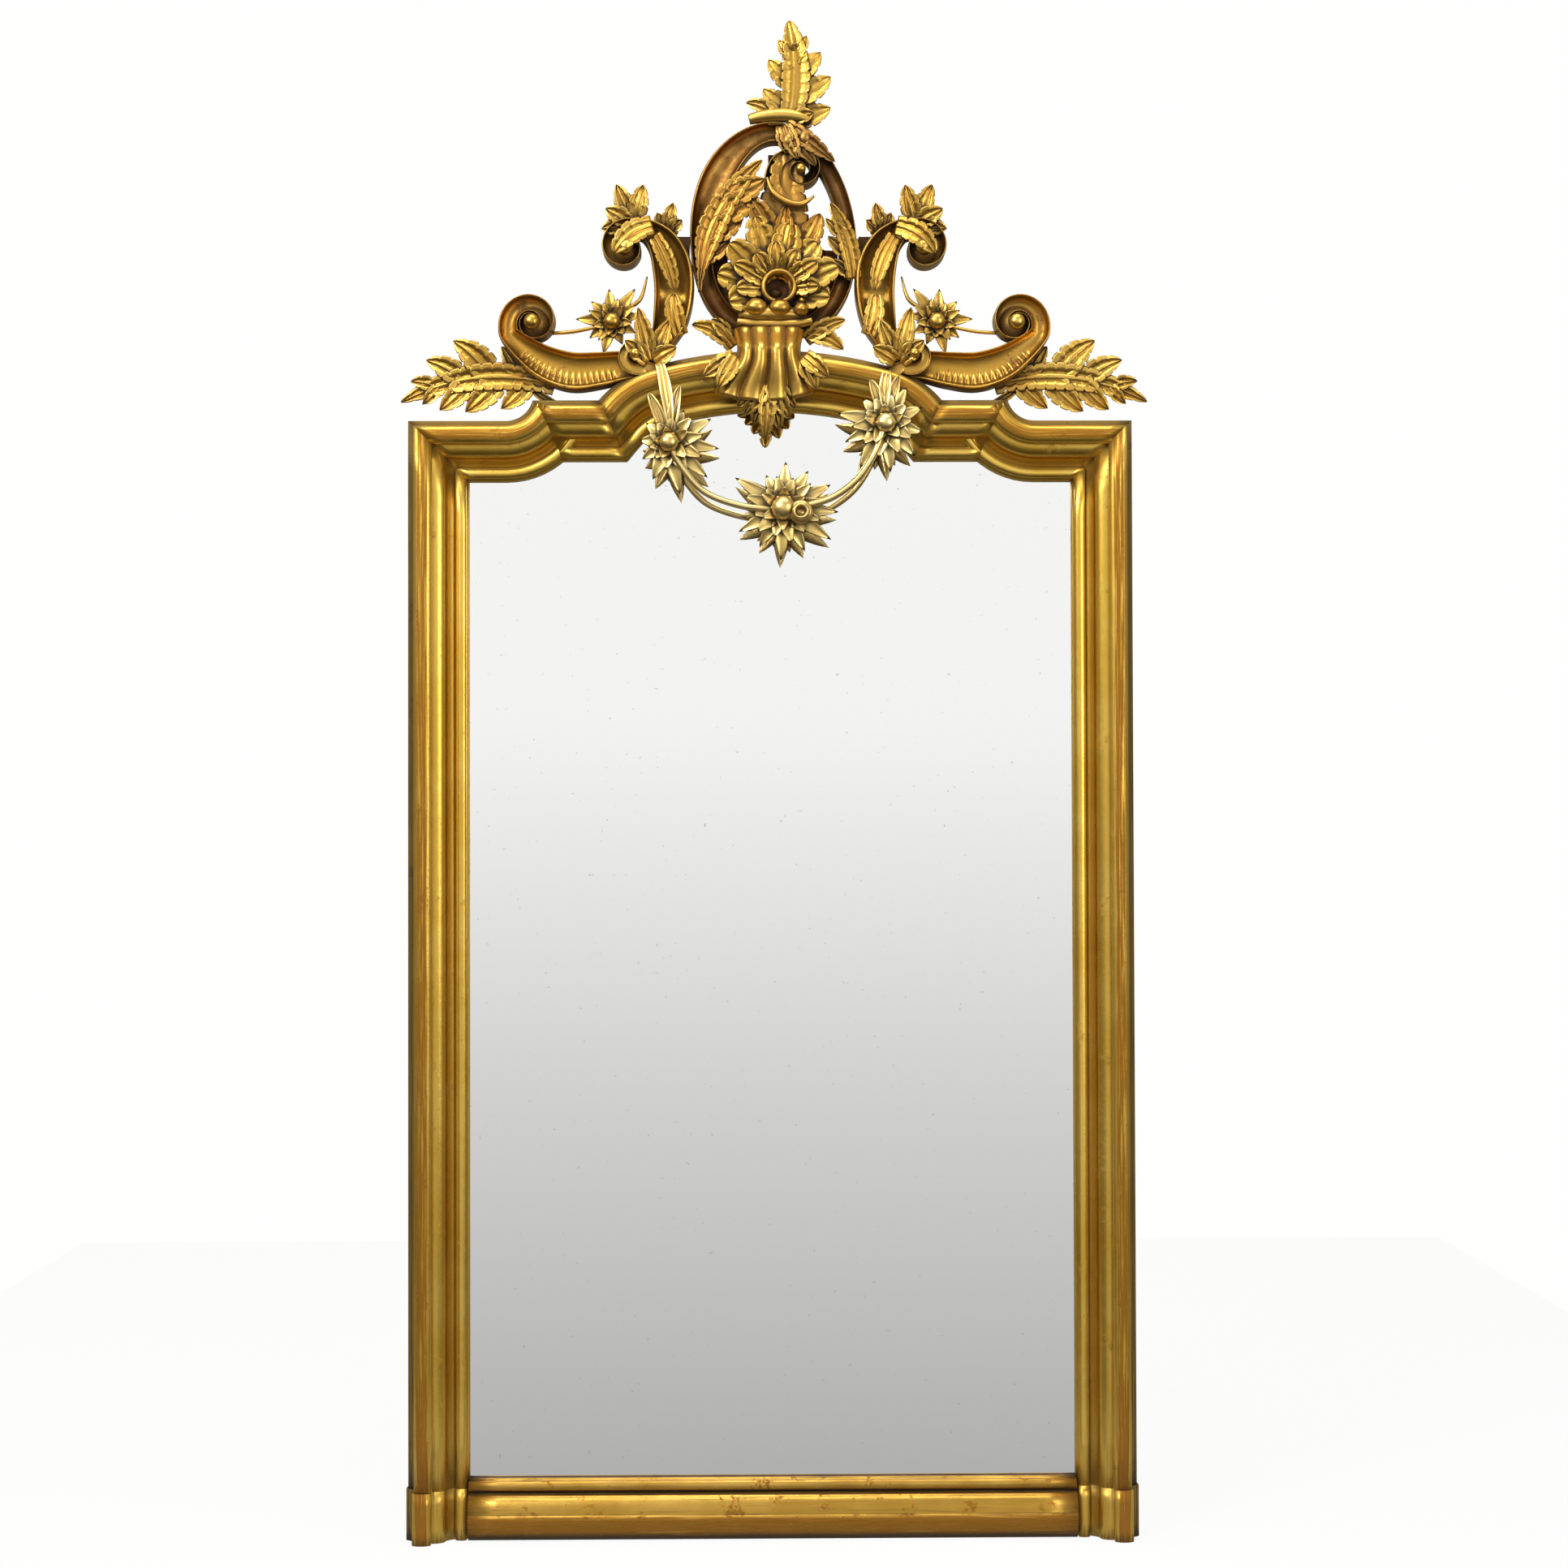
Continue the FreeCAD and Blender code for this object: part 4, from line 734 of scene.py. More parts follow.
class Carving:
    """A piece being shaped in a bmesh, in millimetres."""

    lobe_thickness: float = 3.4
    lobe_faces: int = 14
    petal_thickness: float = 2.0
    petal_faces: tuple[int, int, int] = (6, 8, 2)
    stem_cuts: int = 7
    bead_faces: tuple[int, int] = (20, 12)

    def __init__(self) -> None:
        """Starts with an empty mesh that carries a run map."""
        self.mesh = bmesh.new()
        self.run = self.mesh.loops.layers.uv.new("run")

    def skin(
        self,
        across: int,
        along: int,
        place: Placing,
        mark: Pairing | None = None,
    ) -> list[bmesh.types.BMFace]:
        """A sheet of faces laid by a rule.

        Args:
            across: Faces across.
            along: Faces along.
            place: Gives a point from its shares across and along.
            mark: Gives the run map's values from the same shares.

        Returns:
            The faces.
        """
        grown = bmesh.ops.create_grid(self.mesh, x_segments=across, y_segments=along, size=1.0)
        shares = {vert: ((vert.co.x + 1) / 2, (vert.co.y + 1) / 2) for vert in grown["verts"]}
        faces = list({face for vert in shares for face in vert.link_faces})
        for face in faces:
            face.smooth = True
            for loop in face.loops:
                loop[self.run].uv = mark(*shares[loop.vert]) if mark else shares[loop.vert]
        for vert, (u, v) in shares.items():
            vert.co = place(u, v)
        return faces

    def close(self, faces: Iterable[bmesh.types.BMFace], seam: float = 0.01) -> None:
        """Joins a sheet's seam, fills its open ends and turns its faces outwards."""
        verts = list({vert for face in faces for vert in face.verts})
        bmesh.ops.remove_doubles(self.mesh, verts=verts, dist=seam)
        verts = [vert for vert in verts if vert.is_valid]
        edges = list({edge for vert in verts for edge in vert.link_edges if edge.is_boundary})
        bmesh.ops.holes_fill(self.mesh, edges=edges, sides=0)
        whole = list({face for vert in verts for face in vert.link_faces})
        bmesh.ops.recalc_face_normals(self.mesh, faces=whole)

    def slab(self, front: Placing, thickness: float, across: int, along: int,
             rear: int = 4) -> None:
        """Carves a sheet with a front and a back that meet at its margins.

        Args:
            front: Gives the front's points.
            thickness: How far the back lies behind the front, away from the margins.
            across: Faces across the front.
            along: Faces along it.
            rear: Faces across the back.
        """
        ring = [(step / across, 0.0) for step in range(across + 1)]
        for step in range(1, rear + 1):
            u = 1 - step / rear
            ring.append((u, thickness * (1 - abs(2 * u - 1) ** 6) ** 0.5))

        def place(u: float, v: float) -> Vector:
            share, behind = ring[round(u * (len(ring) - 1))]
            return front(share, v) + Vector((0, behind, 0))

        self.close(self.skin(len(ring) - 1, along, place))

    def lobe(self, spot: Pairing, lobe: Lobe) -> None:
        """Carves one lobe; spot turns its places into x and z."""
        low, bow, high = (at(*spot(*place[:2]), place[2]) for place in (lobe.root, lobe.bow, lobe.tip))

        def place(u: float, v: float) -> Vector:
            side = 2 * u - 1
            rest = 1 - v
            point = low * (rest * rest) + bow * (2 * v * rest) + high * (v * v)
            slope = (bow - low) * rest + (high - bow) * v
            left = Vector((-slope.z, 0.0, slope.x)).normalized()
            return point + left * (side * lobe.width(v)) + Vector((0, -lobe.lift(side, v), 0))

        along = max(8, lobe.nicks * 6, int(lobe.length / 5))
        self.slab(place, self.lobe_thickness, self.lobe_faces, along)

    def leaves(self, spot: Pairing, *shapes: Lobe | Fan) -> None:
        """Carves every lobe of lobes, fronds and fans."""
        for shape in shapes:
            for lobe in shape.parts():
                self.lobe(spot, lobe)

    def petal(self, middle: Vector, direction: Vector, length: float, half: float,
              lift: float, cup: float = 2.0, droop: float = 0.0) -> None:
        """Carves a pointed petal.

        Args:
            middle: The flower's middle.
            direction: Which way the petal points, in the front view.
            length: From the middle to the tip.
            half: Its half width.
            lift: How far its tip stands in front of its root.
            cup: How far its edges stand in front of its midrib.
            droop: How far its tip bends back.
        """
        left = Vector((-direction.z, 0.0, direction.x))

        def place(u: float, v: float) -> Vector:
            side = 2 * u - 1
            width = half * max(math.sin(math.pi * (0.14 + 0.86 * v) ** 0.85), 0.0) ** 0.9
            rise = lift * v - droop * v ** 3 + cup * abs(side) ** 1.3 * math.sin(math.pi * v)
            rise += 0.9 * bell(0.0, 0.18, side) * (1 - v)
            return middle + direction * (length * v) + left * (width * side) + Vector((0, -rise, 0))

        self.slab(place, self.petal_thickness, *self.petal_faces)

    def sweep(self, section: Sequence[Pair], stations: Sequence[Placing],
              lengths: Sequence[float] | None = None) -> None:
        """Runs a closed section through stations.

        Args:
            section: The section's points, in shares, all round.
            stations: Each gives a point from the section's shares.
            lengths: Each station's distance along the run, for the run map.
        """
        ring = [*section, section[0]]
        rows = len(stations) - 1

        def place(u: float, v: float) -> Vector:
            return stations[round(v * rows)](*ring[round(u * (len(ring) - 1))])

        def mark(u: float, v: float) -> Pair:
            run = lengths[round(v * rows)] if lengths else v
            return run, ring[round(u * (len(ring) - 1))][0]

        self.close(self.skin(len(ring) - 1, rows, place, mark))

    def band(self, knots: Sequence[Knot], section: BandSection, back: float, cuts: int = 6) -> None:
        """Carves a scroll's band along knots, its back at a distance off the wall."""
        line = smooth_line(knots, cuts * 3 if section.ribs else cuts)
        outline = section.outline()
        total = 0.0
        stations, lengths = [], []
        spans = [math.hypot(b.x - a.x, b.z - a.z) for a, b in zip(line, line[1:])]
        whole = sum(spans)
        for index, knot in enumerate(line):
            before, after = line[max(index - 1, 0)], line[min(index + 1, len(line) - 1)]
            left = Vector((before.z - after.z, 0.0, after.x - before.x)).normalized()
            share = total / whole
            inside = ease(section.ribbed[0], section.ribbed[0] + 0.04, share)
            inside *= 1 - ease(section.ribbed[1] - 0.04, section.ribbed[1], share)
            wave = section.ribs * inside * math.cos(2 * math.pi * total / section.pitch)

            def place(a: float, h: float, knot: Knot = knot, left: Vector = left,
                      wave: float = wave) -> Vector:
                slope = bell(0.45, 0.24, a * section.turn)
                fore = back + h * (knot.fore - back) + (wave * slope if h > 0.3 else 0.0)
                return at(knot.x, knot.z, fore) + left * (a * knot.half)

            stations.append(place)
            lengths.append(total * MM)
            total += spans[index] if index < len(spans) else 0.0
        self.sweep(outline, stations, lengths)

    def stem(self, knots: Sequence[Knot], sides: int) -> None:
        """Carves a round stem along knots, with so many faces round it."""
        line = smooth_line(knots, self.stem_cuts)
        points = [at(knot.x, knot.z, knot.fore) for knot in line]
        circle = [(math.cos(2 * math.pi * k / sides), math.sin(2 * math.pi * k / sides))
                  for k in range(sides)]
        stations = []
        for index, (point, knot) in enumerate(zip(points, line)):
            before, after = points[max(index - 1, 0)], points[min(index + 1, len(points) - 1)]
            along = (after - before).normalized()
            left = along.cross(Vector((0, -1, 0))).normalized()
            up = along.cross(left).normalized()
            stations.append(lambda a, h, p=point, l=left * knot.half, w=up * knot.half: p + l * a + w * h)
        self.sweep(circle, stations)

    def bead(self, middle: Vector, radii: Triple, turned: float = 0.0) -> None:
        """Carves a rounded boss with three radii, turned in the front view by degrees."""
        shape = (Matrix.Translation(middle) @ Matrix.Rotation(math.radians(turned), 4, "Y")
                 @ Matrix.Diagonal((*radii, 1.0)))
        grown = bmesh.ops.create_uvsphere(self.mesh, u_segments=self.bead_faces[0],
                                          v_segments=self.bead_faces[1], radius=1.0, matrix=shape)
        faces = list({face for vert in grown["verts"] for face in vert.link_faces})
        # Beads sit on the rim of the run map, so a scroll's painted hollow shade leaves them gold.
        for face in faces:
            face.smooth = True
            for loop in face.loops:
                loop[self.run].uv = (0.0, 1.0)
        bmesh.ops.recalc_face_normals(self.mesh, faces=faces)

    def turned(self, middle: Vector, profile: Sequence[Pair], steps: int = 36) -> None:
        """Turns a profile of (radius, fore) about an axis that points into the room."""
        start = [self.mesh.verts.new(middle + Vector((radius, -fore, 0))) for radius, fore in profile]
        edges = [self.mesh.edges.new(pair) for pair in zip(start, start[1:])]
        grown = bmesh.ops.spin(self.mesh, geom=start + edges, cent=middle, axis=(0, 1, 0),
                               dvec=(0, 0, 0), angle=2 * math.pi, steps=steps, use_merge=True)
        verts = {v for v in grown["geom_last"] if isinstance(v, bmesh.types.BMVert)} | set(start)
        seen: set[bmesh.types.BMVert] = set()
        stack = list(verts)
        while stack:
            vert = stack.pop()
            if vert.is_valid and vert not in seen:
                seen.add(vert)
                stack += [edge.other_vert(vert) for edge in vert.link_edges]
        faces = list({face for vert in seen for face in vert.link_faces})
        for face in faces:
            face.smooth = True
        self.close(faces, 0.02)

    def hand_over(self, name: str, finish: Finish, nodes: Sequence[str], slot: str = "gilt",
                  body: str = "root") -> bpy.types.Object:
        """Turns the carving into a piece that stands for solids.

        Args:
            name: The piece's name.
            finish: What it is dressed in.
            nodes: The solids it stands for.
            slot: Not used.
            body: The body it moves with.

        Returns:
            The piece's object.
        """
        bmesh.ops.scale(self.mesh, vec=(MM, MM, MM), verts=self.mesh.verts)
        data = bpy.data.meshes.new(name)
        self.mesh.to_mesh(data)
        self.mesh.free()
        data.materials.append(finish.material())
        piece = bpy.data.objects.new(name, data)
        bpy.context.scene.collection.objects.link(piece)
        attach(piece, body)
        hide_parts(*nodes)
        log.info("%s: %d faces", name, len(data.polygons))
        return piece


# ------------------------------------------------------------------------ the frame


@dataclass(frozen=True)
class FrameSizes:
    """The frame's outline and depths, the same as the solids have."""

    half: float = 493.0
    shoulder: float = 1515.0
    step: float = 1543.0
    apex: float = 1611.0
    kink: float = 234.0
    step_length: float = 89.8
    cove: float = 37.4
    haunch: float = 143.0
    slope: float = math.radians(50.0)
    width: float = 82.0
    height: float = 50.0
    carcass: float = 28.0
    plinth: float = 69.0
    swell: float = 2.5
    foot_low: float = 5.0
    foot_width: float = 76.0
    foot_height: float = 42.0

    @property
    def fore(self) -> float:
        """How far the mouldings stand off the wall."""
        return self.carcass + self.height

    @property
    def cove_middle(self) -> Pair:
        """The middle of the right cove."""
        z = self.shoulder + self.cove
        return self.kink + self.step_length + math.sqrt(self.cove ** 2 - (z - self.step) ** 2), z

    @property
    def crown_angle(self) -> float:
        """The half angle of the arch's crown."""
        run = self.kink - self.haunch * math.sin(self.slope)
        climb = self.apex - self.step - self.haunch * (1 - math.cos(self.slope))
        return 2 * math.atan(climb / run)

    @property
    def crown(self) -> float:
        """The crown's radius."""
        run = self.kink - self.haunch * math.sin(self.slope)
        return self.haunch + run / math.sin(self.crown_angle)


SIZES = FrameSizes()


@dataclass
class Mouldings:
    """The gilt mouldings round the glass, with their plinths."""

    sizes: FrameSizes = SIZES
    finish: Finish = MOULDED
    foot_finish: Finish = FOOT

    def main_section(self) -> list[Pair]:
        """Hollow, roll, fillet, swell, hollow and bead, from the outer edge to the glass."""
        points: list[Pair] = [(0.0, 0.0), (0.0, 0.27), (0.012, 0.285)]
        points += along_arc((0.012, 0.285), (0.105, 0.43), (0.142, 0.70), 6)
        points += [(0.145, 0.745), (0.158, 0.755)]
        points += along_arc((0.158, 0.755), (0.280, 1.0), (0.402, 0.755), 18)
        points += [(0.405, 0.715), (0.412, 0.705), (0.428, 0.705)]
        points += along_arc((0.428, 0.705), (0.545, 0.665), (0.635, 0.50), 8)
        points += along_arc((0.635, 0.50), (0.70, 0.30), (0.790, 0.215), 8)
        points += [(0.797, 0.195), (0.805, 0.195), (0.812, 0.225)]
        points += along_arc((0.812, 0.225), (0.878, 0.385), (0.945, 0.225), 10)
        points += [(0.955, 0.19), (0.990, 0.16), (1.0, 0.15), (1.0, 0.0)]
        return points

    def foot_section(self) -> list[Pair]:
        """The bottom rail's swell, hollow and bead, from its lower edge to the glass."""
        points: list[Pair] = [(0.0, 0.0), (0.0, 0.24)]
        points += along_arc((0.0, 0.24), (0.115, 0.86), (0.40, 0.99), 12)
        points += [(0.415, 0.93), (0.43, 0.92)]
        points += along_arc((0.43, 0.92), (0.62, 0.84), (0.745, 0.53), 8)
        points += along_arc((0.745, 0.53), (0.765, 0.42), (0.79, 0.34), 3)
        points += [(0.80, 0.31), (0.81, 0.33)]
        points += along_arc((0.81, 0.33), (0.880, 0.50), (0.945, 0.33), 8)
        points += [(0.96, 0.28), (1.0, 0.22), (1.0, 0.0)]
        return points

    def post(self, point: Pair, inward: Pair, width: float = 0.0,
             height: float = 0.0) -> Placing:
        """A station: the section stands at a point of the outer edge, its width along inward."""
        across = Vector((inward[0], 0.0, inward[1])) * (width or self.sizes.width)
        rise = height or self.sizes.height
        return lambda a, h: at(*point, self.sizes.carcass + h * rise) + across * a

    def cove_corner(self, side: float) -> Placing:
        """The station where a cove meets the step."""
        mid_x, mid_z = self.sizes.cove_middle

        def place(a: float, h: float) -> Vector:
            inset = a * self.sizes.width
            reach = math.sqrt((self.sizes.cove + inset) ** 2 - (mid_z - self.sizes.step + inset) ** 2)
            fore = self.sizes.carcass + h * self.sizes.height
            return at(side * (mid_x - reach), self.sizes.step - inset, fore)
        return place

    def run(self, name: str, stations: Sequence[Placing],
            section: Sequence[Pair] | None = None, finish: Finish | None = None) -> None:
        """Runs a moulding through stations and hands it over under its solid's name."""
        carving = Carving()
        lengths = [0.0]
        for before, after in zip(stations, stations[1:]):
            lengths.append(lengths[-1] + (after(0.5, 0.0) - before(0.5, 0.0)).length * MM)
        carving.sweep(section or self.main_section(), stations, lengths)
        carving.hand_over(f"gilt_{name}", finish or self.finish, [name])

    def straight(self, first: Placing,
                 last: Placing, cuts: int) -> list[Placing]:
        """Stations on a straight run between two mitres."""
        return [lambda a, h, t=step / cuts: first(a, h).lerp(last(a, h), t) for step in range(cuts + 1)]

    def build_side(self, side: Side) -> None:
        """Builds one plinth, stile, shoulder and step."""
        sizes = self.sizes
        sign = side.value
        edge = sign * sizes.half
        mid_x, mid_z = sizes.cove_middle
        fuller = sizes.width + sizes.swell, sizes.height + sizes.swell
        outer = sign * (sizes.half + sizes.swell)
        self.run(f"base_block_{side.tag}", self.straight(
            self.post((outer, 0.0), (-sign, 0.0), *fuller),
            self.post((outer, sizes.plinth), (-sign, 0.0), *fuller), 4))
        corner = self.post((edge, sizes.shoulder), (-sign, -1.0))
        self.run(f"stile_moulding_{side.tag}", self.straight(
            self.post((edge, sizes.plinth + 0.4), (-sign, 0.0)), corner, 24))
        stations = self.straight(corner, self.post((sign * mid_x, sizes.shoulder), (0.0, -1.0)), 6)
        end = math.asin((mid_z - sizes.step) / sizes.cove)
        for step in range(1, 12):
            angle = math.pi / 2 - (math.pi / 2 - end) * step / 12
            ray = (-sign * math.cos(angle), -math.sin(angle))
            stations.append(self.post((sign * mid_x + sizes.cove * ray[0], mid_z + sizes.cove * ray[1]), ray))
        stations.append(self.cove_corner(sign))
        self.run(f"shoulder_moulding_{side.tag}", stations)
        lean = math.tan(sizes.slope / 2)
        kink = self.post((sign * sizes.kink, sizes.step), (-sign * lean, -1.0))
        self.run(f"step_moulding_{side.tag}", self.straight(self.cove_corner(sign), kink, 5))

    def build_arch(self) -> None:
        """Builds the arch from kink to kink."""
        sizes = self.sizes
        lean = math.tan(sizes.slope / 2)
        crown_z = sizes.apex - sizes.crown
        away = sizes.crown - sizes.haunch
        mid = (away * math.sin(sizes.crown_angle), crown_z + away * math.cos(sizes.crown_angle))
        half = [self.post((sizes.kink, sizes.step), (-lean, -1.0))]
        for step in range(11):
            angle = sizes.slope + (sizes.crown_angle - sizes.slope) * step / 10
            ray = (math.sin(angle), math.cos(angle))
            point = (mid[0] + sizes.haunch * ray[0], mid[1] + sizes.haunch * ray[1])
            half.append(self.post(point, (-ray[0], -ray[1])))
        for step in range(1, 10):
            angle = sizes.crown_angle * (1 - step / 9)
            ray = (math.sin(angle), math.cos(angle))
            half.append(self.post((sizes.crown * ray[0], crown_z + sizes.crown * ray[1]),
                                  (-ray[0], -ray[1])))

        def mirrored(post: Placing) -> Placing:
            return lambda a, h: Vector((-1, 1, 1)) * post(a, h)

        self.run("arch_moulding", half + [mirrored(post) for post in reversed(half[:-1])])

    def build_foot(self) -> None:
        """Builds the bottom rail."""
        sizes = self.sizes
        reach = sizes.half - sizes.width
        ends = [self.post((side * reach, sizes.foot_low), (0.0, 1.0), sizes.foot_width,
                          sizes.foot_height) for side in (-1, 1)]
        self.run("bottom_moulding", self.straight(*ends, 20), self.foot_section(), self.foot_finish)

    def build(self) -> None:
        """Builds every run."""
        for side in Side:
            self.build_side(side)
        self.build_arch()
        self.build_foot()


# ------------------------------------------------------------------------ the crest's flanks


class Ornament:
    """A part of the crest. Its places are to the right and up from the arch's top."""

    def spot(self, across: float, up: float) -> Pair:
        """A place in the frame from one of the ornament's own."""
        return across, SIZES.apex + up

    def point(self, across: float, up: float, fore: float) -> Vector:
        """The same with its distance off the wall, as a point."""
        return at(*self.spot(across, up), fore)

    def placed(self, knots: Iterable[Knot]) -> list[Knot]:
        """Knots moved from the ornament's own places to the frame's."""
        return [Knot(*self.spot(knot.x, knot.z), knot.half, knot.fore) for knot in knots]

    def hand_over(self, carving: Carving, name: str, finish: Finish) -> None:
        """Hands a carving over under its solid's name."""
        carving.hand_over(f"carved_{name}", finish, [name])

    def leafage(self, name: str, finish: Finish, *shapes: Lobe | Fan) -> None:
        """Carves a piece that is leaves alone, and hands it over."""
        carving = Carving()
        carving.leaves(self.spot, *shapes)
        self.hand_over(carving, name, finish)


@dataclass
class Flank(Ornament):
    """One half of the crest: two scrolls, their leaves and the sprig between them.

    A place is given outward and up from the arch's kink, and off the wall. A bearing runs from
    outward towards up, in degrees.
    """

    side: Side
    back: float = 10.0
    drift: float = 12.0
    low_eye: Pair = (90.0, 106.0)
    high_eye: Pair = (-38.0, 208.0)
    curl_eye: Pair = (-50.0, 62.0)

    def spot(self, out: float, up: float) -> Pair:
        """A place from its distance outward and up from the kink."""
        drift = self.drift if self.side is Side.RIGHT else 0.0
        return self.side.value * (SIZES.kink + out + drift), SIZES.step + up

    def hand_over(self, carving: Carving, name: str, finish: Finish) -> None:
        """Hands a carving over under its solid's name on this side."""
        super().hand_over(carving, f"{name}_{self.side.tag}", finish)

    def eye(self, carving: Carving, middle: Pair, reach: float, ball: float) -> None:
        """Fills a volute's middle with a dish and a ball; the dish takes the scroll gilt's painted hollow
        shade.
        """
        carving.turned(self.point(*middle, 0),
                       [(0.0, 12.0), (reach, 12.0), (reach, 38.0), (0.0, 46.0)])
        carving.bead(self.point(*middle, 54), (ball, ball * 0.8, ball))

    def build_lower_scroll(self) -> None:
        """Carves the lying scroll, with gadroons in its hollow and a ball for its eye."""
        carving = Carving()
        arm = [Knot(-70, 44, 12, 42), Knot(-36, 47, 20, 46), Knot(0, 42, 24, 48),
               Knot(36, 40, 26, 48), Knot(70, 50, 24, 49), Knot(98, 68, 19, 50),
               Knot(120, 88, 14, 50)]
        arm += winding(self.low_eye, arm[-1], turn=520, shrink=0.35, rise=8)
        section = BandSection(depth=0.45, ribs=3.0, pitch=8.0, ribbed=(0.12, 0.50),
                              turn=-self.side.value)
        carving.band(self.placed(arm), section, self.back)
        self.eye(carving, self.low_eye, 22, 11)
        self.hand_over(carving, "lower_scroll", SCROLLED)

    def build_upper_scroll(self) -> None:
        """Carves the standing scroll, with a leaf folded into its hollow."""
        carving = Carving()
        arm = [Knot(-72, 52, 10, 42), Knot(-86, 80, 16, 44), Knot(-98, 112, 24, 47),
               Knot(-103, 150, 27, 48), Knot(-100, 185, 27, 49), Knot(-88, 214, 22, 50),
               Knot(-68, 232, 15, 51), Knot(-48, 236, 12, 52)]
        arm += winding(self.high_eye, arm[-1], turn=-480, shrink=0.4, rise=6)
        carving.band(self.placed(arm), BandSection(depth=0.45, turn=self.side.value), self.back)
        self.eye(carving, self.high_eye, 20, 10)
        carving.leaves(self.spot, Lobe((-76, 224, 48), (-104, 150, 46), 13, -8, 4, point=0.35),
                       Lobe((-112, 88, 44), (-102, 145, 46), 15, -6, 4, point=0.3),
                       Lobe((-74, 238, 50), (-22, 198, 58), 18, bend=14, swell=10, point=0.5))
        self.hand_over(carving, "upper_scroll", SCROLLED)

    def build_leaves(self) -> None:
        """Carves the outer leaf, the leaves on the volute and those over the junction."""
        self.leafage(
            "outer_leaf", CARVED,
            Frond((60, 24, 28), (271, 0, 24), half=21, bend=40, swell=14, point=0.62,
                  left=(50, 72, 58, 36), left_span=(0.22, 0.76), right=(56, 66, 58, 34),
                  right_span=(0.16, 0.74), lean=(54, 30), fat=0.32),
            Lobe((92, 22, 26), (54, -2, 24), 7, bend=10, swell=4),
        )
        self.leafage(
            "tip_leaf", CARVED,
            Fan((-48, 240, 36), bearings=(-7, 104), lengths=(44, 44, 60, 56), half=16),
            Fan((-92, 228, 30), bearings=(68, 138), lengths=(32, 44, 30), half=12),
        )
        junction = Carving()
        curl = [Knot(-82, 36, 9, 48), Knot(-66, 44, 8, 51)]
        curl += winding(self.curl_eye, curl[-1], turn=420, shrink=0.45, rise=6)
        junction.band(self.placed(curl), BandSection(turn=-self.side.value), 44.0)
        junction.bead(self.point(*self.curl_eye, 60), (6.5, 5.5, 6.5))
        junction.leaves(self.spot, Fan((-72, 50, 50), bearings=(40, 150),
                                       lengths=(46, 76, 62, 40), half=15))
        self.hand_over(junction, "junction_leaf", CARVED)

    def build_sprig(self) -> None:
        """Carves the rose head on its wires."""
        carving = Carving()
        middle = self.point(-18, 109, 32)
        Flower(middle, (50, 40, 46, 56, 40, 36, 34, 46, 38), first=5, half=9, lift=9, heart=13,
               hand=self.side.value).carve(carving)
        wires = ((Knot(63, 93, 2.6, 34), Knot(33, 95, 2.6, 36), Knot(-4, 103, 2.4, 34)),
                 (Knot(-38, 126, 3.2, 34), Knot(-57, 140, 2.8, 34), Knot(-66, 171, 1.2, 30)))
        for wire in wires:
            carving.stem(self.placed(wire), 8)
        self.hand_over(carving, "sprig", CARVED)

    def build(self) -> None:
        """Builds the half."""
        self.build_lower_scroll()
        self.build_upper_scroll()
        self.build_leaves()
        self.build_sprig()


@dataclass(frozen=True)
class Flower:
    """A rose head: broad pointed leaves in three rounds, and a bud.

    lengths are the outer leaves', counter-clockwise from the first bearing in degrees. hand is
    -1 for a head that is mirrored. hole is where a second, open bud is, from the middle.
    """

    middle: Vector
    lengths: tuple[float, ...]
    first: float = 0.0
    half: float = 11.5
    lift: float = 14.0
    heart: float = 17.0
    hand: int = 1
    hole: Pair | None = None

    def way(self, step: float) -> Vector:
        """The way that a leaf points, by its number."""
        angle = math.radians(self.first + 360 * step / len(self.lengths))
        return Vector((self.hand * math.cos(angle), 0.0, math.sin(angle)))

    def carve(self, carving: Carving) -> None:
        """Carves the head into a carving."""
        for index, length in enumerate(self.lengths):
            high = index % 2
            carving.petal(self.middle, self.way(index), length, self.half,
                          self.lift * (0.1 + 0.25 * high), cup=3.0, droop=self.lift * 0.5)
            carving.petal(self.middle, self.way(index + 0.5), length * 0.70, self.half * 0.95,
                          self.lift * 0.8, cup=3.0, droop=self.lift * 0.3)
            if high:
                carving.petal(self.middle, self.way(index), length * 0.46, self.half * 0.85,
                              self.lift * 1.2, cup=3.0)
        self.bud(carving, self.middle + Vector((0, -self.lift * 0.85, 0)))
        if self.hole:
            self.open_bud(carving, self.middle + Vector((self.hole[0], -self.lift * 1.1, self.hole[1])))

    def bud(self, carving: Carving, heart: Vector) -> None:
        """Carves a round bud of lapped scales."""
        size = self.heart
        carving.bead(heart, (size * 0.86, size * 0.62, size * 0.86))
        for ring, (count, reach, rise) in enumerate(((6, 0.55, 0.22), (4, 0.24, 0.46))):
            for index in range(count):
                angle = 2 * math.pi * (index + 0.5 * ring) / count
                way = Vector((math.cos(angle), 0.0, math.sin(angle)))
                start = heart + way * (size * reach * 0.2) + Vector((0, -size * rise - 1.5, 0))
                carving.petal(start, way, size * (reach + 0.34), size * 0.34, -size * 0.12,
                              cup=-1.2, droop=size * 0.2)

    def open_bud(self, carving: Carving, mouth: Vector) -> None:
        """Carves a bud with an open throat."""
        size = self.heart
        carving.bead(mouth, (size * 0.85, size * 0.3, size * 0.85))
        carving.turned(mouth, [(0.0, size * 0.30), (size * 0.34, size * 0.34),
                               (size * 0.38, size * 0.66), (size * 0.47, size * 0.72),
                               (size * 0.60, size * 0.60), (size * 0.66, size * 0.1)], 24)


# ------------------------------------------------------------------------ the crest's centre


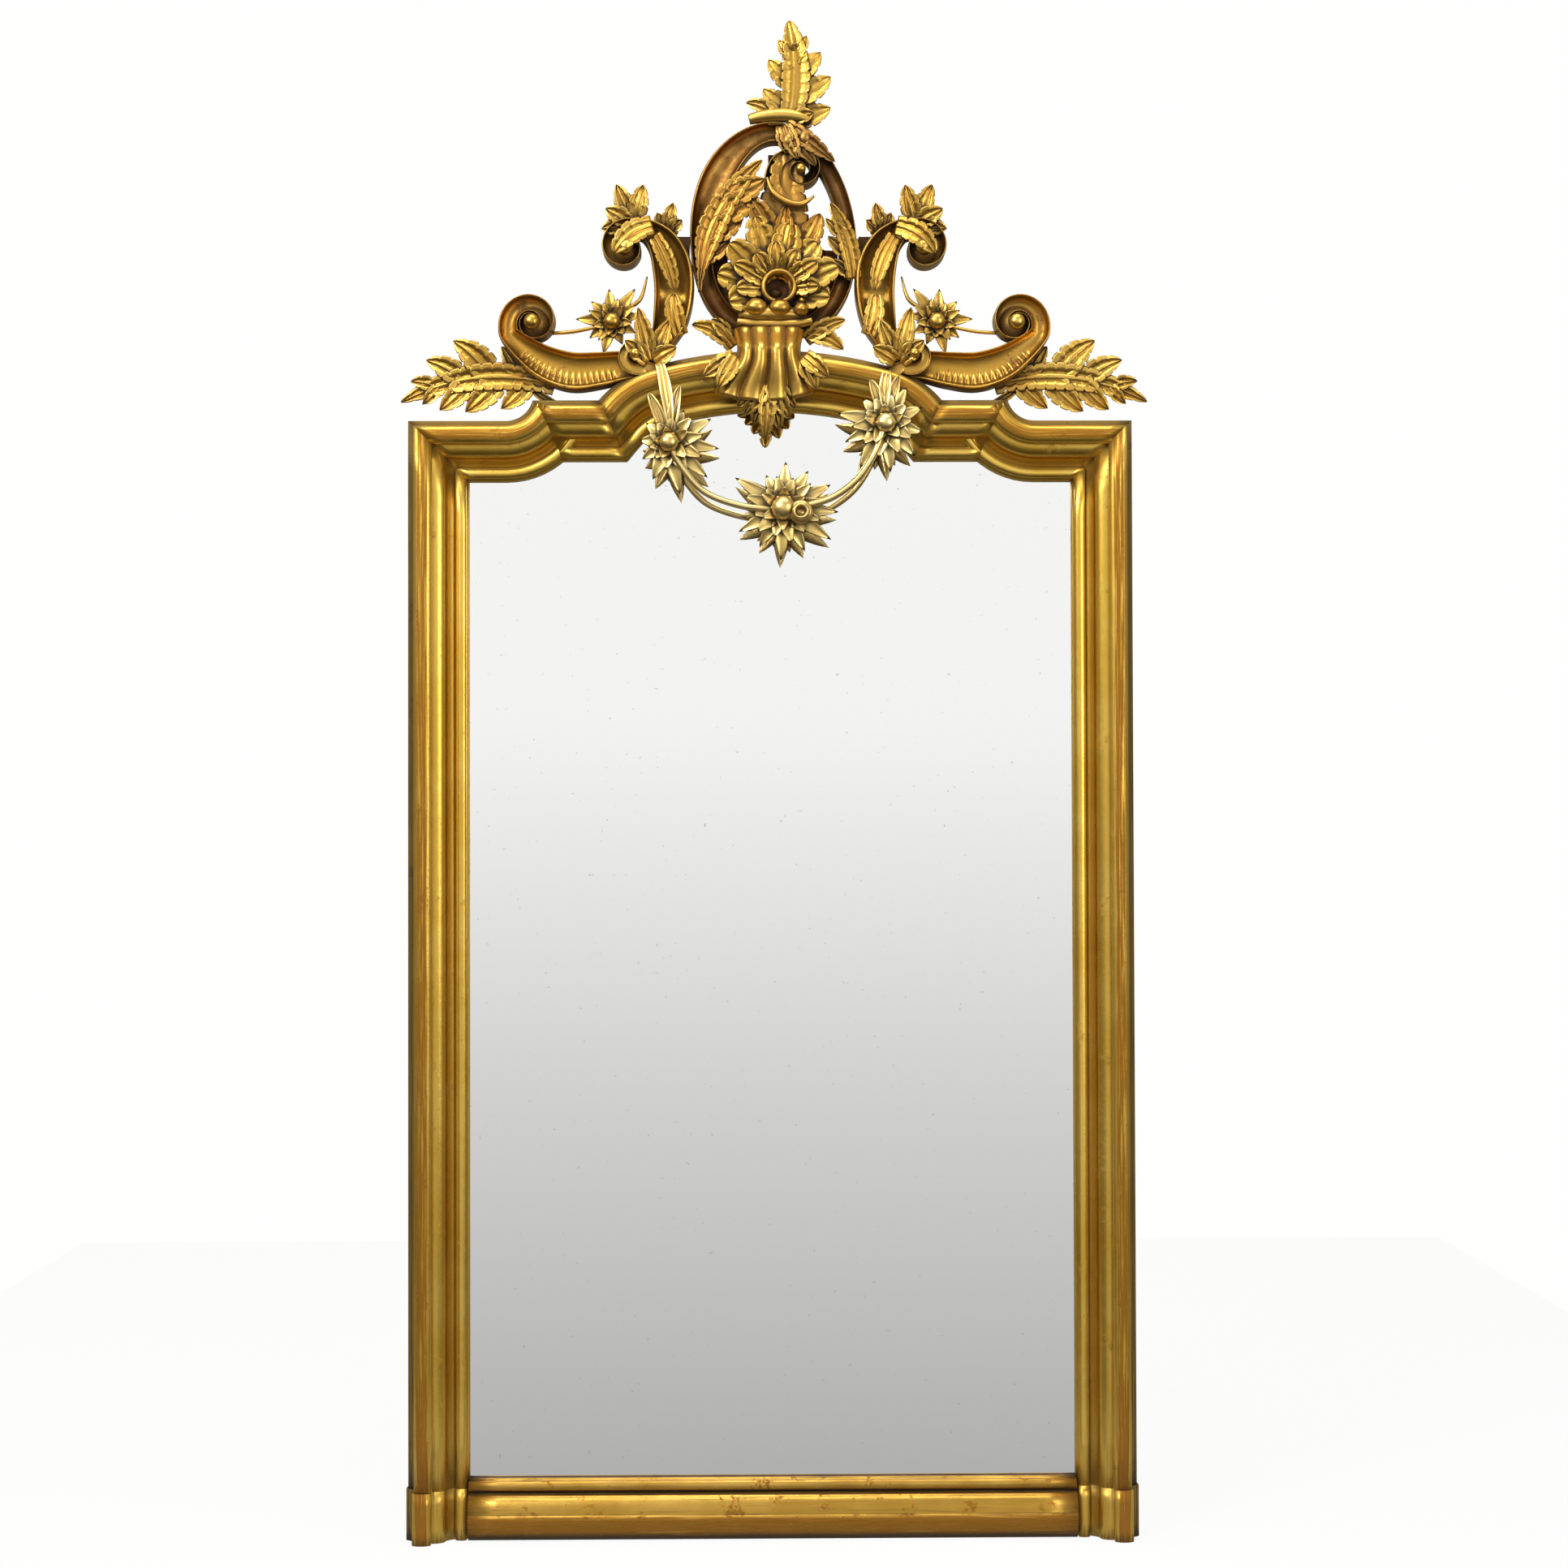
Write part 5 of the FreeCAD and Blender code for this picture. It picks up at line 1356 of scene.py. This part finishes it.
@dataclass(frozen=True)
class Egg:
    """The pierced loop's line: an egg, broad low down and narrow at the top."""

    middle: float = 6.5
    breadth: float = 100.0
    low: float = 29.0
    high: float = 300.0
    skew: float = 1.25

    def place(self, hand: int, bearing: float, inset: float = 0.0) -> Pair:
        """A place on the egg.

        Args:
            hand: 1 for its right side, -1 for its left.
            bearing: Degrees round it from its foot: 180 is its top.
            inset: How far inside the line.

        Returns:
            The place across and up.
        """
        turn = math.radians(bearing)
        climb = ((1 - math.cos(turn)) / 2) ** self.skew
        tall = self.high - self.low - inset
        return (self.middle + hand * (self.breadth - inset) * math.sin(turn),
                self.low + inset / 3 + tall * climb)


@dataclass
class Centrepiece(Ornament):
    """The pierced loop with its shell, volute, clasp and leaves."""

    back: float = 10.0
    egg: Egg = Egg()
    mouth: Pair = (12.0, 85.0)
    curl: Pair = (42.0, 246.0)
    clasp_top: float = 28.0
    clasp_half: float = 48.0
    clasp_drop: float = 104.0
    flutes: int = 4
    flute_depth: float = 11.0

    def arm(self, hand: int, bearings: range, half: Callable[[float], float], fore: Pair,
            inset: float = 0.0) -> list[Knot]:
        """Knots along one side of the egg.

        Args:
            hand: 1 for the right side, -1 for the left.
            bearings: Where the knots lie, in degrees from the foot.
            half: Gives the half width at a bearing.
            fore: How far the band stands off the wall at its first and last knot.
            inset: How far inside the egg's line.

        Returns:
            The knots, from the foot up.
        """
        knots = []
        for index, bearing in enumerate(bearings):
            share = index / (len(bearings) - 1)
            stand = fore[0] + (fore[1] - fore[0]) * ease(0.0, 0.3, share)
            knots.append(Knot(*self.egg.place(hand, bearing, inset), half(bearing), stand))
        return self.placed(knots)

    def build_loop(self) -> None:
        """Carves the loop's two arms, and inside them a dark band that is painted shade in the hollow."""
        carving = Carving()
        carving.band(self.arm(-1, range(5, 198, 12), lambda b: 13 + 9 * bell(128, 32, b), (34, 44)),
                     BandSection(depth=0.5, roll=0.22, edge=0.18, turn=1), self.back)
        carving.band(self.arm(1, range(5, 192, 12), lambda b: 12.0, (34, 42)),
                     BandSection(depth=0.5, roll=0.22, edge=0.18, turn=-1), self.back)
        for x, up, size in ((25, 287, 8.5), (48, 291, 9.5), (36, 272, 7.0)):
            carving.bead(self.point(x, up, 44), (size, 8.0, size * 1.25), 15.0)
        carving.leaves(self.spot, Fan((18, 312, 41), bearings=(276, 322), lengths=(44, 56, 76, 90),
                                      half=14))
        self.hand_over(carving, "centre_loop", RUBBED)
        # Painted shade: a near-black band in the shaded gilt, where the loop's hollow is in shade.
        hollow = Carving()
        for hand in (-1, 1):
            hollow.band(self.arm(hand, range(12, 92, 13), lambda b: 11.0, (26, 26), inset=24),
                        BandSection(depth=0.3), self.back)
        hollow.hand_over("carved_loop_hollow", SHADED, ["centre_loop"])

    def build_shell(self) -> None:
        """Carves the fan of leaves, the lip and the beads beside it."""
        carving = Carving()
        x, up = self.mouth
        carving.leaves(
            self.spot,
            Fan((x - 2, up - 3, 42), bearings=(-8, 194), start=16, rise=12, point=0.35,
                lengths=(72, 88, 84, 92, 104, 90, 84, 68), half=25),
            Fan((x - 2, up - 1, 52), bearings=(2, 182), start=18, rise=9, point=0.4,
                lengths=(56, 64, 56, 62, 54, 66, 56), half=15),
        )
        carving.turned(self.point(x, up, 0), [(17.5, 26.0), (17.5, 56.0), (19.0, 60.0),
                                              (21.0, 61.5), (24.0, 59.0), (26.0, 50.0),
                                              (26.0, 24.0)], 44)
        beads = 10
        for index in range(beads):
            share = index / (beads - 1)
            carving.bead(self.point(x + 26 + 14 * math.sin(math.pi * share), up + 36 - 62 * share,
                                    62 - 4 * share), (3.4, 3.6, 3.4))
        self.hand_over(carving, "centre_shell", CARVED)
        # Painted shade: a near-black plug in the shaded gilt stands for the shell's dark throat.
        mouth = Carving()
        mouth.turned(self.point(x, up, 0), [(0.0, 34.0), (9.0, 34.0), (18.0, 38.0), (18.0, 20.0),
                                            (0.0, 20.0)])
        mouth.bead(self.point(x - 5, up - 5, 36), (8.0, 5.0, 6.0))
        mouth.hand_over("carved_shell_mouth", SHADED, ["centre_shell"])

    def build_volute(self) -> None:
        """Carves the leafy horn that rises out of the shell and curls over."""
        carving = Carving()
        carving.leaves(
            self.spot,
            Lobe((14, 108, 38), (20, 232, 44), 38, foot=0.45, point=0.22, rib=0.7),
            Lobe((4, 132, 43), (-30, 210, 50), 21, bend=-12, swell=8),
            Lobe((30, 126, 43), (68, 186, 50), 20, bend=-10, swell=8),
            Lobe((16, 118, 46), (22, 196, 54), 17, foot=0.5, swell=9),
            Lobe((26, 184, 40), (20, 273, 42), 25, foot=0.8, point=0.25, rib=0.7),
        )
        horn = [Knot(34, 192, 14, 44), Knot(12, 208, 13, 46), Knot(4, 232, 12, 48),
                Knot(10, 256, 10, 50), Knot(28, 269, 8.5, 51)]
        horn += winding(self.curl, horn[-1], turn=-470, shrink=0.42, rise=4)
        carving.band(self.placed(horn), BandSection(depth=0.5, turn=1), self.back)
        carving.bead(self.point(*self.curl, 56), (7.0, 6.0, 7.0))
        fold = (Knot(-4, 234, 1.5, 55), Knot(4, 214, 4, 57), Knot(22, 200, 5, 58),
                Knot(42, 197, 4.4, 57), Knot(60, 208, 1.5, 55))
        carving.stem(self.placed(fold), 8)
        self.hand_over(carving, "centre_volute", DEEP)

    def build_head(self) -> None:
        """Carves the tall leaf in its collar."""
        carving = Carving()
        carving.leaves(
            self.spot,
            Frond((28, 316, 36), (26, 452, 42), half=22, bend=-18, swell=10, point=0.55, rib=0.6,
                  left=(50, 50, 34), left_span=(0.10, 0.62), right=(56, 56, 46, 30),
                  right_span=(0.04, 0.66), lean=(64, 38), fat=0.36),
            Lobe((14, 318, 36), (-32, 341, 34), 13, bend=-10, swell=5),
            Lobe((34, 318, 40), (60, 326, 40), 12, swell=4),
        )
        collar = (Knot(-28, 317, 7, 38), Knot(-10, 321, 9, 38), Knot(14, 323, 10, 38),
                  Knot(36, 321, 9, 38), Knot(54, 316, 6, 38))
        carving.stem(self.placed(collar), 14)
        self.hand_over(carving, "apex_leaf", CARVED)

    def build_collar(self) -> None:
        """Carves the knobbed band under the mouth."""
        carving = Carving()
        band = (Knot(-45, 37, 5, 56), Knot(-24, 34, 6.5, 56), Knot(6, 33, 7, 56),
                Knot(36, 34, 6.5, 56), Knot(57, 38, 5, 56))
        carving.stem(self.placed(band), 14)
        for x, up, wide, tall in ((-19, 56, 15, 12), (13, 55, 15, 12), (42, 53, 10, 9)):
            carving.bead(self.point(x, up, 60), (wide, 13, tall))
        carving.bead(self.point(3, 47, 48), (47, 18, 14))
        self.hand_over(carving, "shell_collar", CARVED)

    def clasp_face(self, u: float, v: float) -> Vector:
        """The clasp's fluted face, gathered at its waist and flared at its foot."""
        side = 2 * u - 1
        flare = ease(0.45, 1.0, v)
        half = self.clasp_half - 5 * bell(0.35, 0.22, v) + 20 * flare
        drop = (self.clasp_drop - 14 * abs(side) ** 2) * v
        fore = 62 + 26 * ease(0.0, 0.35, v) - 8 * flare - 16 * abs(side) ** 4
        fore += self.flute_depth * abs(math.sin(math.pi * self.flutes * u)) ** 0.55
        return self.point(-2 - 7 * flare + side * half, self.clasp_top - drop, fore)

    def build_clasp(self) -> None:
        """Carves the fluted clasp, its hanging leaf, its curls and its wings."""
        carving = Carving()
        carving.slab(self.clasp_face, 14.0, self.flutes * 12, 26)
        carving.leaves(self.spot, Fan((-2, -52, 84), bearings=(214, 318), start=2, rise=-8,
                                      lengths=(52, 52, 58, 73, 62, 54, 48), half=14, point=0.55))
        self.hand_over(carving, "clasp", CARVED)
        curls = {
            Side.LEFT: Fan((-44, -12, 84), bearings=(214, 240), lengths=(56, 54), half=15),
            Side.RIGHT: Fan((42, -12, 84), bearings=(292, 318), lengths=(52, 48), half=15),
        }
        wings = {
            Side.LEFT: (Lobe((-50, 6, 34), (-107, 37, 34), 14, bend=-14, swell=5),
                        Lobe((-54, 16, 34), (-80, 44, 36), 12, bend=-4, swell=5)),
            Side.RIGHT: (Lobe((48, 16, 34), (103, 43, 36), 14, bend=6, swell=5),
                         Lobe((50, 24, 34), (100, 2, 36), 14, bend=10, swell=5)),
        }
        for side in Side:
            self.leafage(f"clasp_leaf_{side.tag}", CARVED, curls[side])
            self.leafage(f"clasp_wing_{side.tag}", CARVED, *wings[side])

    def build_loop_leaves(self) -> None:
        """Carves the leaves that climb the loop's arms."""
        self.leafage(
            "loop_leaf_left", DEEP,
            Frond((-96, 80, 43), (-10, 259, 50), half=22, bend=44, swell=6, foot=0.12,
                  right=(42, 50, 58, 50), right_span=(0.24, 0.70), fat=0.42, lean=(44, 30)))
        self.leafage(
            "loop_leaf_right", CARVED,
            Frond((114, 98, 43), (82, 200, 50), half=15, bend=-14, swell=6,
                  left=(36, 40, 36), left_span=(0.05, 0.55), lean=(48, 30)))

    def build(self) -> None:
        """Builds the centre."""
        self.build_loop()
        self.build_shell()
        self.build_volute()
        self.build_head()
        self.build_collar()
        self.build_clasp()
        self.build_loop_leaves()


@dataclass
class Festoon(Ornament):
    """The three hanging flower heads and the stems between them."""

    fore: float = 84.0
    stem_half: float = 4.5

    def head(self, name: str, flower: Flower, *straps: Lobe) -> None:
        """Carves a head with the leaves that it hangs by."""
        carving = Carving()
        flower.carve(carving)
        carving.leaves(self.spot, *straps)
        self.hand_over(carving, name, HANGING)

    def stem(self, name: str, *places: Triple) -> None:
        """Carves a bent stem through places across, up and off the wall."""
        carving = Carving()
        knots = [Knot(x, up, self.stem_half, fore) for x, up, fore in places]
        carving.stem(self.placed(knots), 12)
        self.hand_over(carving, name, HANGING)

    def build(self) -> None:
        """Builds the festoon."""
        self.head(
            "festoon_flower_left",
            Flower(self.point(-137, -132, self.fore), first=-6, heart=15,
                   lengths=(68, 66, 50, 45, 42, 40, 42, 54, 71, 70)),
            Lobe((-150, -22, 72), (-135, -118, 90), 9, bend=6, swell=14),
            Lobe((-143, -118, 88), (-165, -64, 86), 9, bend=-4, swell=4),
            Lobe((-134, -116, 88), (-122, -54, 84), 9, bend=4, swell=4))
        self.head(
            "festoon_flower_right",
            Flower(self.point(155, -106, self.fore), first=-12, heart=15,
                   lengths=(52, 54, 58, 54, 46, 67, 60, 70, 66, 59)),
            Lobe((158, -32, 72), (154, -92, 90), 9, bend=-4, swell=14),
            Lobe((150, -92, 88), (134, -46, 84), 9, bend=-4, swell=4),
            Lobe((160, -92, 88), (174, -40, 82), 9, bend=4, swell=4))
        self.head(
            "festoon_flower_centre",
            Flower(self.point(17, -221, self.fore), first=-3, heart=19, hole=(23, -6),
                   lengths=(75, 72, 62, 64, 52, 78, 60, 68, 60, 70, 64, 77)))
        self.stem("festoon_stem_left", (-134, -140, 92), (-118, -168, 92), (-88, -200, 92),
                  (-40, -218, 92), (2, -222, 90))
        self.stem("festoon_stem_right", (152, -112, 92), (140, -146, 92), (116, -182, 92),
                  (80, -208, 92), (36, -220, 90))


# ------------------------------------------------------------------------ what the solids keep


@dataclass
class Joinery:
    """The solids that are shown as they are: carcass, boards, glass and iron."""

    nodes: dict[str, bpy.types.Object] = field(default_factory=lambda: frame["nodes"])

    def finish_of(self, name: str) -> Finish:
        """The finish for a solid; those that carvings stand for are gilt too."""
        # The bridge is dressed in the shaded gilt, so it shows as painted shade.
        rules: tuple[tuple[str, Finish], ...] = (
            ("carcass_stile", PINE), ("carcass_rail", PINE_ACROSS), ("crest_batten", PINE),
            ("glazing_blocks", PINE), ("backboard_nails", IRON), ("backboard", BOARDS),
            ("crest_nails", IRON), ("hanger", IRON), ("mirror_glass", GLASS), ("bridge", SHADED),
        )
        return next((finish for start, finish in rules if name.startswith(start)), CARVED)

    def dress(self) -> None:
        """Gives each solid its finish."""
        for name, piece in self.nodes.items():
            piece.data.materials.clear()
            piece.data.materials.append(self.finish_of(name).material())


# ------------------------------------------------------------------------ the studio


@dataclass
class Studio:
    """Camera, pale floor, white surround and soft lamps."""

    eye: Triple = (-0.0324, -4.0, 0.9448)
    yaw: float = 0.01254
    pitch: float = 0.01896
    roll: float = -0.00264
    focal: float = 66.87
    white: Colour = (1.0, 1.0, 0.995)
    floor_middle: Triple = (0.0, 1.3, -0.0005)
    floor_half: float = 1.6
    floor_glow: float = 0.93

    def add_camera(self) -> None:
        """Stands the camera where the picture was taken from."""
        look = Vector((math.sin(self.yaw) * math.cos(self.pitch),
                       math.cos(self.yaw) * math.cos(self.pitch), math.sin(self.pitch)))
        turn = look.to_track_quat("-Z", "Y").to_matrix().to_4x4()
        lens = bpy.data.cameras.new("camera")
        lens.sensor_width = 36.0
        lens.sensor_fit = "HORIZONTAL"
        lens.lens = self.focal
        lens.clip_end = 100.0
        camera = bpy.data.objects.new("camera", lens)
        camera.matrix_world = (Matrix.Translation(self.eye) @ turn
                               @ Matrix.Rotation(self.roll, 4, "Z"))
        bpy.context.scene.collection.objects.link(camera)
        bpy.context.scene.camera = camera

    def add_lamp(self, name: str, where: Triple, aim: Triple, size: Pair, power: float) -> None:
        """Adds a soft rectangular lamp.

        Args:
            name: The lamp's name.
            where: Its place, in metres.
            aim: What it points at.
            size: Its width and height.
            power: Its watts.
        """
        light = bpy.data.lights.new(name, "AREA")
        light.shape = "RECTANGLE"
        light.size, light.size_y = size
        light.energy = power
        lamp = bpy.data.objects.new(name, light)
        aimed = (Vector(aim) - Vector(where)).to_track_quat("-Z", "Y").to_matrix().to_4x4()
        lamp.matrix_world = Matrix.Translation(where) @ aimed
        bpy.context.scene.collection.objects.link(lamp)

    def add_world(self) -> None:
        """A white surround for the camera, and a room with a dark foot for reflections."""
        world = bpy.data.worlds.new("surround")
        bpy.context.scene.world = world
        world.use_nodes = True
        graph = Graph(world.node_tree)
        path = graph.add("ShaderNodeLightPath")
        _, depth, height = graph.split(graph.spot("Generated"))
        climb = height * 0.5 + 0.5
        view = graph.ramp(climb, (
            (0.33, (0.335, 0.335, 0.325)), (0.395, (0.465, 0.465, 0.455)), (0.455, (0.67, 0.67, 0.66)),
            (0.52, (0.96, 0.96, 0.95)), (0.75, (1.0, 1.0, 0.99))))
        room = graph.ramp(climb, (
            (0.0, (0.05, 0.04, 0.03)), (0.40, (0.10, 0.085, 0.065)), (0.52, (0.26, 0.25, 0.23)),
            (0.72, (0.52, 0.51, 0.49)), (1.0, (0.40, 0.40, 0.39))))
        around = graph.mix((depth * -1.0).between(0.84, 0.95), room, view)
        seen = graph.mix(Wire(graph, path.outputs["Is Glossy Ray"]), (0.42, 0.41, 0.40), around)
        seen = graph.mix(Wire(graph, path.outputs["Is Camera Ray"]), seen, self.white)
        shader = graph.wire("ShaderNodeBackground", None, {"Color": seen, "Strength": 1.0})
        graph.add("ShaderNodeOutputWorld", None, {0: shader})

    def add_floor(self) -> None:
        """A pale floor that keeps a soft shadow."""
        mesh = bmesh.new()
        bmesh.ops.create_grid(mesh, x_segments=2, y_segments=2, size=self.floor_half,
                              matrix=Matrix.Translation(self.floor_middle))
        data = bpy.data.meshes.new("floor")
        mesh.to_mesh(data)
        mesh.free()
        made = bpy.data.materials.new("pale_floor")
        made.use_nodes = True
        graph = Graph(made.node_tree)
        path = graph.add("ShaderNodeLightPath")
        shade = graph.wire("ShaderNodeBsdfDiffuse", None, {"Color": (0.90, 0.90, 0.90)})
        glow = graph.wire("ShaderNodeEmission", None, {"Color": self.white, "Strength": 1.0})
        dim = graph.wire("ShaderNodeEmission", None, {"Color": (0.42, 0.42, 0.41), "Strength": 1.0})
        share = Wire(graph, path.outputs["Is Camera Ray"]) * self.floor_glow
        both = graph.wire("ShaderNodeMixShader", None, {0: share, 1: shade, 2: glow})
        glossy = Wire(graph, path.outputs["Is Glossy Ray"])
        seen = graph.wire("ShaderNodeMixShader", None, {0: glossy, 1: both, 2: dim})
        graph.add("ShaderNodeOutputMaterial", None, {0: seen})
        data.materials.append(made)
        floor = bpy.data.objects.new("floor", data)
        bpy.context.scene.collection.objects.link(floor)

    def build(self) -> None:
        """Sets up the studio."""
        bpy.context.scene.view_settings.view_transform = "Standard"
        self.add_camera()
        self.add_world()
        self.add_floor()
        self.add_lamp("key", (-2.2, -3.0, 3.2), (0.0, 0.0, 1.3), (1.6, 1.2), 95.0)
        self.add_lamp("fill", (2.6, -3.2, 1.8), (0.0, 0.0, 1.0), (1.4, 2.0), 45.0)
        self.add_lamp("top", (0.0, -1.2, 4.0), (0.0, -0.1, 1.0), (2.4, 1.2), 45.0)


# ------------------------------------------------------------------------ all of it


def main() -> None:
    """Builds the looks in order."""
    logging.basicConfig(level=logging.INFO, format="%(name)s %(message)s")
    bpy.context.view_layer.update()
    Joinery().dress()
    Mouldings().build()
    for side in Side:
        Flank(side).build()
    Centrepiece().build()
    Festoon().build()
    Studio().build()


if __name__ == "__main__":
    main()
